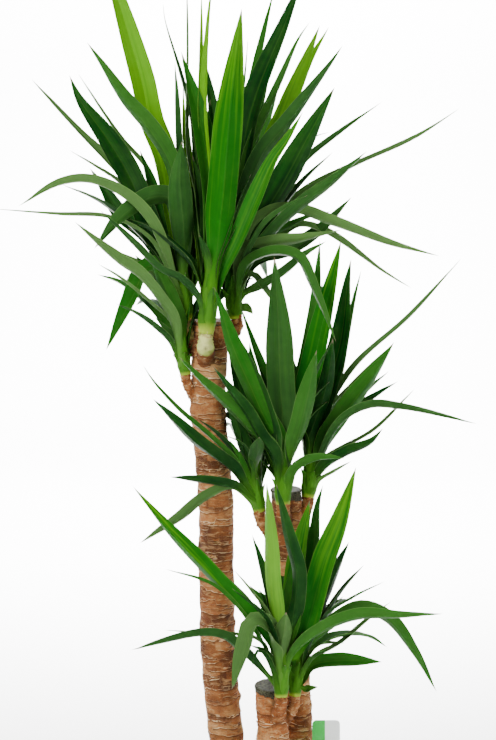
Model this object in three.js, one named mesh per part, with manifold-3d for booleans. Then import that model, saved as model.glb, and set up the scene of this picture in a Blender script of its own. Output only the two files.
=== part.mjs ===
// A potted spineless yucca: three canes of different height in one plain nursery pot, each with
// leafy heads of sword leaves near its sealed top. Millimetres, +Z up, X to the right and Y away
// as seen from the front. The origin is the centre of the pot's underside.
import * as THREE from 'three';
import { mergeVertices } from 'three/addons/utils/BufferGeometryUtils.js';
import Module from 'manifold-3d';

const wasm = await Module();
wasm.setup();

// Pot and soil
const POT_HEIGHT = 245;
const POT_RIM_RADIUS = 140;
const POT_NECK_RADIUS = 132;
const POT_BASE_RADIUS = 98;
const POT_RIM_DEPTH = 24;
const POT_WALL = 3;
const POT_FLOOR = 4;
const POT_FOOT = 4;
const POT_LIP = 3;
const POT_SIDES = 32;
const DRAIN_SIDES = 10;
const DRAIN_RADIUS = 5;
const DRAIN_COUNT = 6;
const DRAIN_CIRCLE = 68;
const SOIL_TOP = 225;
const SOIL_CROWN = 5;
const SOIL_EDGE = 4;
const FIT_GAP = 0.3;
const SLIVER = 0.02;

// Canes
const CANE_SIDES = 12;
const ROOTED_DEPTH = 85;
const ROOTED_GIRTH = 0.94;
const SCAR_STEP = 26;
const SCAR_RELIEF = 0.05;
const CANE_WAVE = 0.03;
const CANE_TWIST = 1.7;
const WAX_DEPTH = 4;
const WAX_PROUD = 1.2;

// Woody shoots: how far below the green stem the last stretch begins, and the girth at its three
// points as a share of the stem's radius
const SHOOT_STRETCH = 14;
const SHOOT_GIRTHS = [1.5, 1.1, 0.85];

// Leaf blades
const BLADE_THICKNESS = 2.2;
const BLADE_CHANNEL = 0.2;
const BLADE_STEPS = 3;
const BLADE_STEP_LENGTH = 165;
const NECK_WIDTH = 0.4;
const FULL_FROM = 0.28;
const FULL_TO = 0.55;
const POINT_POWER = 1.5;

// Green stems swell where the leaf bases wrap them: [share of the length, share of the radius]
const STEM_SIDES = 8;
const STEM_GIRTHS = [[0, 1], [0.3, 1.45], [0.7, 1.5], [1, 0.6]];

// Where the leaves spring from, as shares of the stem's length: in view from the lowest leaf
// upward, and behind from the highest leaf downward
const LOWEST_ROOT = 0.16;
const ROOT_SPAN = 0.76;
const HIGHEST_ROOT_BEHIND = 0.75;
const ROOT_SPAN_BEHIND = 0.6;
const DROOP_PIECES = 4;
const DROOP_POWER = 1.5;

// Plant label
const LABEL_WIDTH = 45;
const LABEL_HEAD = 70;
const LABEL_POINT = 75;
const LABEL_CORNER = 7;
const LABEL_CORNER_STEPS = 5;
const LABEL_THICKNESS = 1;
const LABEL_TOP = { across: 125, up: -560, depth: -30 };

// The plant is laid out as it is seen from the front by an eye this far away. Across and up are
// measured in the plane through the view's centre that faces the eye, and depth is the place on Y.
const VIEW_DISTANCE = 3000;
const VIEW_PITCH = THREE.MathUtils.degToRad(6.5);
const VIEW_CENTRE = new THREE.Vector3(-26, 0, 903);

// Each cane: its radius, its depth, the tilt of its cut top and its middle line as [across, up]
const CANES = {
  tall: {
    radius: 28.5,
    depth: 45,
    tilt: 0.05,
    line: [
      [-59, 76], [-64, -48], [-58, -128], [-52, -208], [-50, -368], [-48, -448], [-35, -592],
      [-32, -682],
    ],
  },
  medium: {
    radius: 24.5,
    depth: 20,
    tilt: 0.08,
    line: [[61, -194], [64, -270], [70, -400], [80, -592], [82, -682]],
  },
  small: {
    radius: 25,
    depth: -50,
    tilt: 0.16,
    line: [[36, -508], [41, -592], [43, -682]],
  },
};

// Each head: its cane, where its shoot leaves the cane and where its green stem begins and ends,
// all as [across, up, depth], its stem's radius, and its leaves from the lowest to the youngest.
// A leaf in view is [width, depth of the tip from the root, face at the root, face at the tip,
// then [across, up] from near the root to the tip]. A face of 0 is seen on edge, 90 shows the
// upper side and -90 the underside. A leaf that isn't is [width, heading, rise, length, droop].
const HEADS = {
  tall_left: {
    cane: 'tall',
    shoot: [-82, 26, 45],
    base: [-98, 80, 40],
    heart: [-106, 176, 38],
    radius: 9.5,
    leaves: [
      [28, 20, 30, 55, [-128, 158], [-160, 164], [-182, 122], [-227, 32]],
      [18, 90, 30, 20, [-157, 157], [-189, 176], [-224, 195]],
      [20, 70, 40, 40, [-112, 125], [-141, 139], [-181, 184]],
      [14, -70, 15, 15, [-157, 208], [-218, 242], [-301, 248], [-407, 258]],
      [24, 50, 45, 45, [-133, 179], [-160, 208], [-192, 227]],
      [26, -120, -30, -35, [-157, 232], [-197, 275], [-253, 301], [-298, 298], [-368, 262]],
      [30, 120, 50, 60, [-157, 208], [-208, 253], [-229, 288], [-253, 323]],
      [14, 60, 20, 20, [-157, 248], [-205, 299], [-245, 326], [-286, 352]],
      [18, 160, -30, -35, [-157, 248], [-216, 325], [-269, 379], [-347, 466]],
      [38, 90, 50, 65, [-157, 224], [-187, 304], [-224, 368], [-269, 432], [-286, 472]],
      [12, 170, -20, -30, [-157, 310], [-200, 365], [-237, 419], [-272, 475]],
      [34, -66, -45, -50, [-112, 236], [-124, 274], [-152, 277], [-200, 248], [-246, 194]],
      [34, -60, -35, -45, [-122, 323], [-157, 384], [-197, 432], [-238, 496], [-258, 525]],
      [38, 60, 55, 60, [-133, 336], [-157, 400], [-171, 464], [-189, 528], [-243, 706]],
      [26, 70, 40, 40, [-118, 170], [-141, 240], [-157, 300], [-173, 352]],
      [24, 40, 35, 35, [-112, 210], [-125, 260], [-133, 325]],
      [22, -10, -30, -30, [-110, 272], [-114, 352], [-117, 493]],
      [44, -120, -80, -75, [-102, 208], [-107, 272], [-109, 304], [-106, 366]],
      [30, 98, 50, 360, 45],
      [28, 84, 32, 360, 50],
      [24, 112, 14, 330, 50],
      [28, 85, 80, 280, 10],
      [28, 160, 56, 290, 40],
      [26, 125, 64, 220, 30],
    ],
  },
  tall_low: {
    cane: 'tall',
    shoot: [-72, -62, 44],
    base: [-100, -6, 30],
    heart: [-109, 54, 20],
    radius: 8,
    leaves: [
      [16, -10, 40, 40, [-112, 43], [-133, 64], [-149, 85]],
      [14, -30, 20, 20, [-122, 72], [-157, 107], [-205, 147], [-240, 170]],
      [26, -90, -30, -45, [-118, 72], [-141, 112], [-173, 150], [-205, 173], [-277, 237]],
      [26, -30, 50, 60, [-108, 66], [-122, 104], [-136, 139], [-157, 184]],
      [22, 112, 32, 240, 50],
      [22, 140, 48, 230, 40],
      [20, 200, 52, 150, 30],
    ],
  },
  tall_front: {
    cane: 'tall',
    shoot: [-66, 16, 30],
    base: [-67, 59, 0],
    heart: [-59, 163, -4],
    radius: 11,
    leaves: [
      [18, -60, -40, -30, [-78, 108], [-109, 144], [-141, 160], [-184, 203], [-237, 256]],
      [14, 100, 20, 20, [-74, 272], [-99, 432], [-133, 560], [-136, 587]],
      [28, 15, 40, 50, [-42, 152], [-16, 208], [11, 272], [40, 336], [62, 368], [88, 413]],
      [18, 90, 35, 35, [-90, 300], [-102, 376], [-104, 456]],
      [12, 80, 15, 15, [-84, 272], [-98, 352], [-98, 496], [-98, 640]],
      [20, 60, 20, 20, [-69, 272], [-80, 400], [-78, 496], [-74, 611]],
      [22, 45, 25, 25, [-58, 272], [-67, 432], [-62, 560], [-56, 632]],
      [12, 60, 20, 20, [-34, 272], [-21, 352], [-6, 448], [0, 531]],
      [24, 60, 45, 45, [-72, 240], [-82, 320], [-92, 400]],
      [36, 40, 50, 50, [-58, 250], [-66, 340], [-80, 410], [-97, 472], [-107, 510]],
      [45, -45, 80, 75, [-48, 208], [-38, 304], [-27, 432], [-10, 579]],
      [14, -35, -60, -60, [-66, 176], [-78, 216]],
      [30, 90, 82, 300, 8],
      [26, 130, 82, 230, 6],
      [28, 20, 76, 230, 12],
    ],
  },
  tall_right: {
    cane: 'tall',
    shoot: [-48, 44, 56],
    base: [-20, 82, 72],
    heart: [-32, 172, 75],
    radius: 10,
    leaves: [
      [12, 10, 30, 30, [-6, 96], [8, 90]],
      [22, -130, -35, -40, [-5, 163], [22, 182], [51, 187], [80, 178], [102, 136], [141, 45]],
      [16, -20, 30, 30, [3, 152], [26, 128], [58, 85]],
      [24, -60, -30, -35, [-6, 120], [22, 131], [59, 154], [91, 182], [125, 206]],
      [20, 120, 20, 25, [3, 176], [59, 216], [83, 230], [118, 222], [219, 155], [262, 131]],
      [24, -60, -40, -40, [-5, 189], [27, 200], [91, 210], [149, 224]],
      [22, -40, -40, -40, [3, 221], [38, 254], [83, 256], [131, 238], [227, 203], [307, 182]],
      [18, 60, -25, -30, [20, 205], [59, 227], [91, 242], [134, 254]],
      [26, 90, 40, 40, [16, 170], [67, 189], [123, 229], [166, 277]],
      [16, 150, 25, 30, [11, 208], [83, 280], [163, 323], [275, 376], [339, 419]],
      [26, -80, 35, 40, [35, 213], [83, 261], [139, 304], [190, 350]],
      [14, -100, 30, 30, [24, 228], [59, 259], [96, 280]],
      [18, 70, 25, 25, [19, 232], [88, 328], [147, 378], [214, 429]],
      [14, 110, 20, 20, [20, 232], [59, 288], [104, 370], [131, 381]],
      [42, -25, 50, 55, [3, 208], [35, 264], [59, 304], [93, 368], [139, 453]],
      [28, -60, -40, -45, [-8, 256], [22, 344], [67, 400], [123, 477], [152, 520]],
      [36, 70, 50, 55, [11, 288], [58, 400], [75, 448], [115, 552]],
      [26, 110, 45, 50, [18, 300], [67, 416], [99, 493], [130, 550]],
      [22, 10, -30, -35, [2, 344], [32, 416], [53, 464], [82, 531], [99, 557]],
      [20, 130, 40, 40, [-5, 272], [22, 416], [32, 458]],
      [36, 20, 50, 50, [-16, 272], [-2, 384], [16, 448], [62, 560], [91, 637]],
      [22, 100, 40, 40, [-8, 290], [-3, 352], [16, 488], [42, 611]],
      [34, 74, 58, 430, 30],
      [30, 98, 40, 410, 50],
      [28, 80, 20, 380, 55],
      [26, 106, 72, 420, 15],
      [30, 160, 82, 310, 8],
      [28, 20, 64, 300, 25],
      [28, 50, 50, 220, 20],
    ],
  },
  medium_left: {
    cane: 'medium',
    shoot: [54, -282, 19],
    base: [18, -226, 12],
    heart: [6, -150, 8],
    radius: 9,
    leaves: [
      [22, -110, -40, -50, [-5, -202], [-26, -189], [-69, -205], [-109, -237], [-173, -277]],
      [20, -90, -45, -45, [-14, -192], [-29, -187], [-77, -178], [-125, -171]],
      [28, -110, 40, 45, [-21, -165], [-53, -139], [-85, -115], [-117, -83], [-152, -46]],
      [12, -130, 35, 40, [-21, -147], [-61, -107], [-109, -66], [-149, -22], [-168, 8]],
      [12, -50, 45, 50, [-8, -156], [-29, -112]],
      [10, -80, 15, 15, [-5, -123], [-42, -102]],
      [24, -10, 50, 50, [0, -150], [-10, -110], [-26, -60], [-34, -24]],
      [30, 20, 66, 70, [8, -140], [0, -80], [-12, -10], [-22, 40], [-30, 66]],
      [26, 30, 72, 84, [16, -140], [18, -80], [8, 0], [2, 44]],
      [22, -125, -70, -70, [14, -136], [18, -107]],
      [28, 92, 50, 300, 45],
      [26, 100, 30, 300, 50],
      [24, 215, 58, 170, 25],
      [22, 110, 64, 150, 20],
    ],
  },
  medium_centre: {
    cane: 'medium',
    shoot: [58, -250, 8],
    base: [56, -214, -18],
    heart: [54, -140, -22],
    radius: 10,
    leaves: [
      [24, -70, -30, -40, [69, -184], [80, -160], [110, -144], [155, -141]],
      [14, 10, -20, -20, [43, -173], [22, -147]],
      [28, -50, 40, 45, [43, -140], [19, -112], [-29, -61], [-77, -16], [-110, 21]],
      [24, -60, 40, 45, [40, -135], [22, -112], [-5, -64], [-29, -32], [-56, 6]],
      [28, 25, 45, 45, [40, -120], [6, -90], [-13, -32], [-37, 72]],
      [34, -40, 50, 50, [50, -120], [27, -77], [3, -24], [-22, 32], [-54, 133]],
      [20, 60, 35, 35, [48, -90], [35, -40], [6, 45], [-13, 104]],
      [36, 60, 50, 55, [64, -130], [80, -80], [99, -16], [128, 112], [149, 208]],
      [26, 100, 45, 50, [70, -96], [102, 48], [112, 144], [115, 208]],
      [32, -60, -50, -55, [66, -150], [83, -96], [94, -48], [110, 32]],
      [14, 60, 30, 30, [44, -90], [38, -16], [40, 32], [38, 85]],
      [42, 10, 80, 75, [56, -96], [51, -16], [48, 80], [42, 182]],
      [28, 92, 66, 330, 25],
      [28, 200, 76, 250, 12],
      [28, 350, 76, 240, 12],
      [26, 100, 56, 150, 35],
    ],
  },
  medium_right: {
    cane: 'medium',
    shoot: [72, -262, 21],
    base: [96, -203, 27],
    heart: [103, -135, 31],
    radius: 9.5,
    leaves: [
      [12, -20, 20, 20, [115, -178], [139, -163], [165, -146]],
      [24, -60, 40, 40, [107, -179], [123, -157], [155, -136], [198, -115], [216, -93]],
      [12, 60, 15, 15, [118, -148], [147, -128], [203, -96], [267, -30]],
      [20, -90, -30, -35, [112, -152], [150, -84], [195, -59], [243, -61], [366, -86]],
      [20, 110, 30, 30, [116, -131], [147, -83], [211, -37], [240, -18]],
      [34, -30, 45, 55, [118, -131], [147, -80], [198, -11], [234, 45]],
      [14, 50, 25, 25, [110, -112], [128, -64], [170, 5], [258, 85], [341, 178]],
      [14, 110, -20, -20, [108, -100], [112, -83], [163, -29], [227, 38]],
      [18, 90, 30, 30, [112, -112], [147, -16], [171, 112], [181, 160]],
      [34, 20, 50, 50, [98, -136], [123, -48], [149, 48], [160, 144], [165, 178]],
      [32, -40, 50, 55, [92, -130], [119, -48], [130, 0], [136, 51]],
      [28, 84, 60, 380, 30],
      [26, 70, 36, 340, 50],
      [26, 150, 82, 220, 8],
      [24, 20, 62, 230, 25],
    ],
  },
  small_front: {
    cane: 'small',
    shoot: [41, -568, -56],
    base: [53, -522, -86],
    heart: [54, -436, -88],
    radius: 9,
    leaves: [
      [16, -30, 15, 15, [32, -468], [18, -450], [6, -474]],
      [20, -70, -40, -45, [36, -496], [-13, -448], [-37, -429], [-77, -424], [-187, -448]],
      [14, -20, 30, 30, [29, -456], [3, -440]],
      [12, -20, 20, 20, [20, -436], [-18, -424], [-77, -421], [-134, -416]],
      [24, -60, -45, -45, [67, -464], [83, -443], [131, -410], [179, -395], [243, -395], [312, -390]],
      [30, -50, -75, -75, [51, -462], [54, -438], [58, -414], [61, -387]],
      [36, -100, -20, 55, [40, -446], [28, -412], [10, -408], [-2, -440], [-26, -512]],
      [12, -40, 20, 20, [11, -420], [-21, -376], [-58, -344], [-133, -318]],
      [30, -60, 40, 45, [38, -446], [11, -406], [-61, -328], [-133, -251], [-184, -186]],
      [14, -90, -30, -30, [30, -402], [-26, -349]],
      [12, -20, 20, 20, [36, -400], [3, -352], [-22, -320]],
      [36, 15, 50, 60, [70, -460], [90, -424], [123, -304], [147, -240], [173, -155]],
      [32, 10, 60, 60, [67, -420], [72, -368], [74, -304]],
      [28, -30, -40, -45, [44, -400], [37, -336], [34, -272], [30, -181]],
      [26, -50, -40, -45, [68, -420], [78, -328], [67, -280], [45, -182]],
      [26, 190, 62, 190, 25],
      [22, 165, 66, 130, 30],
      [26, 140, 78, 230, 8],
    ],
  },
  small_back: {
    cane: 'small',
    shoot: [50, -570, -49],
    base: [75, -521, -50],
    heart: [78, -440, -44],
    radius: 8,
    leaves: [
      [12, -10, 20, 20, [91, -515], [112, -507]],
      [24, 30, 40, 40, [90, -496], [102, -474], [139, -466], [214, -467]],
      [14, -20, 30, 30, [102, -465], [130, -445]],
      [10, 60, 20, 20, [100, -455], [115, -440], [155, -437]],
      [26, 20, -45, -45, [91, -456], [131, -413], [180, -384], [224, -400], [264, -451], [302, -515]],
      [12, 110, 15, 15, [98, -464], [147, -438], [190, -402], [229, -370]],
      [12, -15, 20, 20, [88, -450], [123, -395], [171, -363], [219, -338]],
      [28, -10, 40, 45, [88, -450], [123, -368], [136, -336], [162, -274]],
      [14, 50, 20, 20, [78, -420], [88, -360], [101, -216]],
      [26, 35, 45, 45, [86, -400], [107, -272], [112, -216], [120, -184]],
      [32, 20, 50, 50, [70, -400], [77, -328], [86, -272], [99, -208]],
      [24, 36, 20, 200, 60],
      [22, 60, 38, 220, 50],
      [26, 60, 66, 220, 20],
      [26, 0, 68, 220, 20],
    ],
  },
};

// Finishes
const POT_FINISH = finish(0x2e3032, 0.55);
const SOIL_FINISH = finish(0x3a2a1e, 0.98);
const WAX_FINISH = finish(0x4a4a42, 0.5);
const LABEL_FINISH = finish(0xe9ebe4, 0.4);
const BARK_ROUGHNESS = 0.85;
const LEAF_ROUGHNESS = 0.4;
const CANE_COLOURS = { tall: 0x9a6a45, medium: 0x96623e, small: 0x8c5c3e };
const LEAF_COLOURS = { tall: 0x2f6a22, medium: 0x347226, small: 0x3b7d24 };

function finish(color, roughness) {
  return new THREE.MeshStandardMaterial({ color, roughness, metalness: 0 });
}

// The point at a given depth on the line of sight through across and up
function sight(across, up, depth) {
  const forward = VIEW_DISTANCE * Math.cos(VIEW_PITCH);
  const drop = VIEW_DISTANCE * Math.sin(VIEW_PITCH);
  const scale = (depth + forward) / (forward + up * Math.sin(VIEW_PITCH));
  const height = drop + (up * Math.cos(VIEW_PITCH) - drop) * scale;
  return new THREE.Vector3(VIEW_CENTRE.x + across * scale, depth, VIEW_CENTRE.z + height);
}

// A closed skin over rings of points, each counterclockwise as seen from the far end, with flat
// ends, or a single point at the far end where a tip is given. From side number `turned` on, the
// panels are split along their other diagonal
function loft(rings, tip = null, turned = Infinity) {
  const sides = rings[0].length;
  const points = rings.flat();
  const faces = [];
  for (let row = 0; row + 1 < rings.length; row += 1) {
    for (let side = 0; side < sides; side += 1) {
      const near = row * sides + side;
      const next = row * sides + ((side + 1) % sides);
      if (side < turned) {
        faces.push(near, next, next + sides, near, next + sides, near + sides);
      } else {
        faces.push(near, next, near + sides, next, next + sides, near + sides);
      }
    }
  }
  const last = (rings.length - 1) * sides;
  for (let side = 1; side + 1 < sides; side += 1) {
    faces.push(0, side + 1, side);
    if (!tip) {
      faces.push(last, last + side, last + side + 1);
    }
  }
  if (tip) {
    const end = points.push(tip) - 1;
    for (let side = 0; side < sides; side += 1) {
      faces.push(last + side, last + ((side + 1) % sides), end);
    }
  }
  const geometry = new THREE.BufferGeometry().setFromPoints(points);
  geometry.setIndex(faces);
  return geometry;
}

// Solids for joining and cutting, and back again
function solid(geometry) {
  const bare = geometry.clone();
  bare.deleteAttribute('normal');
  bare.deleteAttribute('uv');
  const merged = mergeVertices(bare, 1e-4);
  return new wasm.Manifold(new wasm.Mesh({
    numProp: 3,
    vertProperties: Float32Array.from(merged.attributes.position.array),
    triVerts: Uint32Array.from(merged.index.array),
  }));
}

// The outer skin of the largest piece, without slivers: loose scraps go, and hollows are filled
function surface(body) {
  const pieces = body.decompose().sort((one, other) => other.volume() - one.volume());
  const mesh = pieces[0].simplify(SLIVER).getMesh();
  const geometry = new THREE.BufferGeometry();
  geometry.setAttribute('position', new THREE.Float32BufferAttribute(mesh.vertProperties, 3));
  geometry.setIndex(Array.from(mesh.triVerts));
  return geometry;
}

// A ring of points round a centre, square to a direction
function ring(centre, direction, radius, sides) {
  const across = new THREE.Vector3(0, 1, 0).cross(direction).normalize();
  const along = direction.clone().normalize().cross(across);
  return Array.from({ length: sides }, (_, side) => {
    const angle = (2 * Math.PI * side) / sides;
    return centre.clone()
      .addScaledVector(across, radius * Math.cos(angle))
      .addScaledVector(along, radius * Math.sin(angle));
  });
}

// A round rod through points, with a radius at each of them
function rod(points, radii, sides) {
  const rings = points.map((point, place) => {
    const from = points[Math.max(place - 1, 0)];
    const to = points[Math.min(place + 1, points.length - 1)];
    return ring(point, to.clone().sub(from), radii[place], sides);
  });
  return loft(rings);
}

// The outer radius of the pot below its rim
function potRadius(height) {
  const neck = POT_HEIGHT - POT_RIM_DEPTH;
  return THREE.MathUtils.lerp(POT_BASE_RADIUS, POT_NECK_RADIUS, Math.min(height / neck, 1));
}

// A profile of [radius, height] turned round the pot's axis
function upright(profile) {
  const points = profile.map(([radius, height]) => new THREE.Vector2(radius, height));
  return new THREE.LatheGeometry(points, POT_SIDES).rotateX(Math.PI / 2);
}

function potGeometry() {
  const neck = POT_HEIGHT - POT_RIM_DEPTH;
  const profile = [
    [0, 0],
    [POT_BASE_RADIUS - POT_FOOT, 0],
    [potRadius(POT_FOOT), POT_FOOT],
    [potRadius(neck), neck],
    [POT_RIM_RADIUS - POT_LIP, neck + POT_LIP / 3],
    [POT_RIM_RADIUS, POT_HEIGHT - POT_LIP],
    [POT_RIM_RADIUS - POT_LIP / 2, POT_HEIGHT],
    [POT_RIM_RADIUS - POT_LIP, POT_HEIGHT],
    [potRadius(neck) - POT_WALL, neck],
    [potRadius(POT_FLOOR) - POT_WALL, POT_FLOOR],
    [0, POT_FLOOR],
  ];
  let body = solid(upright(profile));
  for (let hole = 0; hole < DRAIN_COUNT; hole += 1) {
    const angle = (2 * Math.PI * hole) / DRAIN_COUNT;
    const drain = new THREE.CylinderGeometry(DRAIN_RADIUS, DRAIN_RADIUS, 4 * POT_FLOOR, DRAIN_SIDES);
    drain.rotateX(Math.PI / 2);
    drain.translate(DRAIN_CIRCLE * Math.cos(angle), DRAIN_CIRCLE * Math.sin(angle), 0);
    body = body.subtract(solid(drain));
  }
  return surface(body);
}

// The middle line of a cane from its buried end to its cut top
function caneLine(cane) {
  const line = cane.line.map(([across, up]) => sight(across, up, cane.depth)).reverse();
  const foot = line[0].clone().setZ(SOIL_TOP);
  return new THREE.CatmullRomCurve3([foot, ...line.slice(1)], false, 'centripetal');
}

// A level ring of a cane, or one that slopes back. Ring 0 is round, and the rest swell unevenly
function caneRing(centre, radius, row, slope = 0) {
  return Array.from({ length: CANE_SIDES }, (_, side) => {
    const angle = (2 * Math.PI * side) / CANE_SIDES;
    const wave = row === 0 ? 1 : 1 + CANE_WAVE * Math.sin(2 * angle + row * CANE_TWIST);
    const x = radius * wave * Math.cos(angle);
    const y = radius * wave * Math.sin(angle);
    return new THREE.Vector3(centre.x + x, centre.y + y, centre.z + y * slope);
  });
}

// The cane with a ring of leaf scars at each step, joined with the woody shoots that grew from it
function caneGeometry(name) {
  const cane = CANES[name];
  const curve = caneLine(cane);
  const steps = Math.round(curve.getLength() / SCAR_STEP);
  const foot = curve.getPointAt(0);
  const levels = [SOIL_TOP - ROOTED_DEPTH, SOIL_TOP + SOIL_CROWN + 2];
  const rings = levels.map((level) => caneRing(foot.clone().setZ(level), cane.radius * ROOTED_GIRTH, 0));
  for (let step = 1; step <= steps; step += 1) {
    const scar = step % 2 === 0 ? 1 + SCAR_RELIEF : 1 - SCAR_RELIEF / 2;
    const relief = step === steps ? 1 : scar;
    const slope = step === steps ? cane.tilt : 0;
    rings.push(caneRing(curve.getPointAt(step / steps), cane.radius * relief, step, slope));
  }
  let body = solid(loft(rings));
  for (const head of Object.values(HEADS).filter((each) => each.cane === name)) {
    const base = sight(...head.base);
    const rise = sight(...head.heart).sub(base).normalize();
    const points = [
      sight(...head.shoot),
      base.clone().addScaledVector(rise, -SHOOT_STRETCH),
      base.clone().addScaledVector(rise, -FIT_GAP),
    ];
    const girths = SHOOT_GIRTHS.map((share) => share * head.radius);
    body = body.add(solid(rod(points, girths, STEM_SIDES)));
  }
  return surface(body);
}

// The cap of wax on a cane's cut top
function waxGeometry(name) {
  const cane = CANES[name];
  const top = caneLine(cane).getPointAt(1);
  const levels = [
    [cane.radius + WAX_PROUD / 2, FIT_GAP],
    [cane.radius + WAX_PROUD, FIT_GAP + WAX_DEPTH / 2],
    [cane.radius - WAX_DEPTH, FIT_GAP + WAX_DEPTH],
  ];
  const rings = levels.map(([radius, lift]) => {
    const centre = top.clone().setZ(top.z + lift);
    return caneRing(centre, radius, 0, cane.tilt);
  });
  return loft(rings);
}

// The label: a broad head with rounded top corners that narrows to a point in the soil
function labelGeometry() {
  const half = LABEL_WIDTH / 2;
  const outline = new THREE.Shape();
  outline.moveTo(0, -LABEL_HEAD - LABEL_POINT);
  outline.lineTo(half / 2, -LABEL_HEAD);
  outline.lineTo(half, -LABEL_HEAD + half);
  outline.lineTo(half, -LABEL_CORNER);
  outline.absarc(half - LABEL_CORNER, -LABEL_CORNER, LABEL_CORNER, 0, Math.PI / 2);
  outline.absarc(LABEL_CORNER - half, -LABEL_CORNER, LABEL_CORNER, Math.PI / 2, Math.PI);
  outline.lineTo(-half, -LABEL_HEAD + half);
  outline.lineTo(-half / 2, -LABEL_HEAD);
  const geometry = new THREE.ExtrudeGeometry(outline, {
    depth: LABEL_THICKNESS,
    bevelEnabled: false,
    curveSegments: LABEL_CORNER_STEPS,
  });
  return geometry.rotateX(Math.PI / 2);
}

// The middle of the label's upper edge
function labelPlace() {
  const { across, up, depth } = LABEL_TOP;
  return sight(across, up, depth);
}

// The soil fills the pot, with a plain hole for each cane and a slot for the label
function soilGeometry() {
  const floor = POT_FLOOR + FIT_GAP;
  const inside = POT_WALL + 2 * FIT_GAP;
  const profile = [
    [0, floor],
    [potRadius(floor) - inside, floor],
    [potRadius(SOIL_TOP - SOIL_EDGE) - inside, SOIL_TOP - SOIL_EDGE],
    [potRadius(SOIL_TOP) - 3 * SOIL_EDGE, SOIL_TOP],
    [potRadius(SOIL_TOP) / 2, SOIL_TOP + (2 * SOIL_CROWN) / 3],
    [0, SOIL_TOP + SOIL_CROWN],
  ];
  let body = solid(upright(profile));
  for (const cane of Object.values(CANES)) {
    const foot = caneLine(cane).getPointAt(0);
    const levels = [SOIL_TOP - ROOTED_DEPTH - FIT_GAP, SOIL_TOP + 2 * SOIL_CROWN];
    const radius = cane.radius * ROOTED_GIRTH + 1.5 * FIT_GAP;
    const hole = loft(levels.map((level) => caneRing(foot.clone().setZ(level), radius, 0)));
    body = body.subtract(solid(hole));
  }
  const place = labelPlace();
  const slot = new THREE.BoxGeometry(
    LABEL_WIDTH + 2 * FIT_GAP,
    LABEL_THICKNESS + 2 * FIT_GAP,
    2 * LABEL_POINT,
  );
  const bottom = place.z - LABEL_HEAD - LABEL_POINT - FIT_GAP;
  slot.translate(place.x, place.y - LABEL_THICKNESS / 2, bottom + LABEL_POINT);
  return surface(body.subtract(solid(slot)));
}

// The width of a blade along its length: a narrow neck, full in the middle, then a long point
function bladeWidth(share) {
  const neck = THREE.MathUtils.smoothstep(share, 0, FULL_FROM);
  const past = Math.max((share - FULL_TO) / (1 - FULL_TO), 0);
  return (NECK_WIDTH + (1 - NECK_WIDTH) * neck) * (1 - past ** POINT_POWER);
}

// One sword leaf along a curve: a shallow channel, thin at its edges. Its two faces are split
// alike, so that they keep apart where it twists
function blade(curve, heading, width, faceRoot, faceTip) {
  const hinge = new THREE.Vector3(0, 0, 1).cross(heading);
  const viewer = new THREE.Vector3(0, -1, 0);
  const steps = BLADE_STEPS + Math.floor(curve.getLength() / BLADE_STEP_LENGTH);
  const rings = [];
  for (let step = 0; step < steps; step += 1) {
    const share = step / steps;
    const centre = curve.getPointAt(share);
    const along = curve.getTangentAt(share);
    const face = THREE.MathUtils.degToRad(THREE.MathUtils.lerp(faceRoot, faceTip, share));
    const upper = along.clone().cross(hinge).normalize().multiplyScalar(Math.cos(face));
    upper.addScaledVector(viewer, Math.sin(face)).projectOnPlane(along).normalize();
    const side = upper.clone().cross(along);
    const half = (width * bladeWidth(share)) / 2;
    const edge = (sign) => centre.clone()
      .addScaledVector(side, sign * half)
      .addScaledVector(upper, half * BLADE_CHANNEL);
    const middle = (sign) => centre.clone().addScaledVector(upper, (sign * BLADE_THICKNESS) / 2);
    rings.push([edge(1), middle(1), edge(-1), middle(-1)]);
  }
  return loft(rings, curve.getPointAt(1), 2);
}

// A leaf that is laid out as seen from the front
function seenLeaf(root, row) {
  const [width, back, faceRoot, faceTip, ...route] = row;
  const flat = [root, ...route.map(([across, up]) => sight(across, up, root.y))];
  const reach = [0];
  for (let place = 1; place < flat.length; place += 1) {
    reach.push(reach[place - 1] + flat[place].distanceTo(flat[place - 1]));
  }
  const total = reach[reach.length - 1];
  const points = route.map(([across, up], place) => {
    const depth = root.y + (back * reach[place + 1]) / total;
    return sight(across, up, depth);
  });
  const curve = new THREE.CatmullRomCurve3([root, ...points], false, 'centripetal');
  const heading = new THREE.Vector3(Math.sign(points[points.length - 1].x - root.x), 0, 0);
  return blade(curve, heading, width, faceRoot, faceTip);
}

// A leaf that is laid out by its heading round the stem
function hiddenLeaf(root, row) {
  const [width, heading, rise, length, droop] = row;
  const turn = THREE.MathUtils.degToRad(heading);
  const outward = new THREE.Vector3(Math.cos(turn), Math.sin(turn), 0);
  const points = [root.clone()];
  const stretch = length / DROOP_PIECES;
  for (let piece = 0; piece < DROOP_PIECES; piece += 1) {
    const share = (piece + 0.5) / DROOP_PIECES;
    const lean = THREE.MathUtils.degToRad(rise - droop * share ** DROOP_POWER);
    const next = points[piece].clone().addScaledVector(outward, stretch * Math.cos(lean));
    next.z += stretch * Math.sin(lean);
    points.push(next);
  }
  const curve = new THREE.CatmullRomCurve3(points, false, 'centripetal');
  return blade(curve, outward, width, 0, 0);
}

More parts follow.
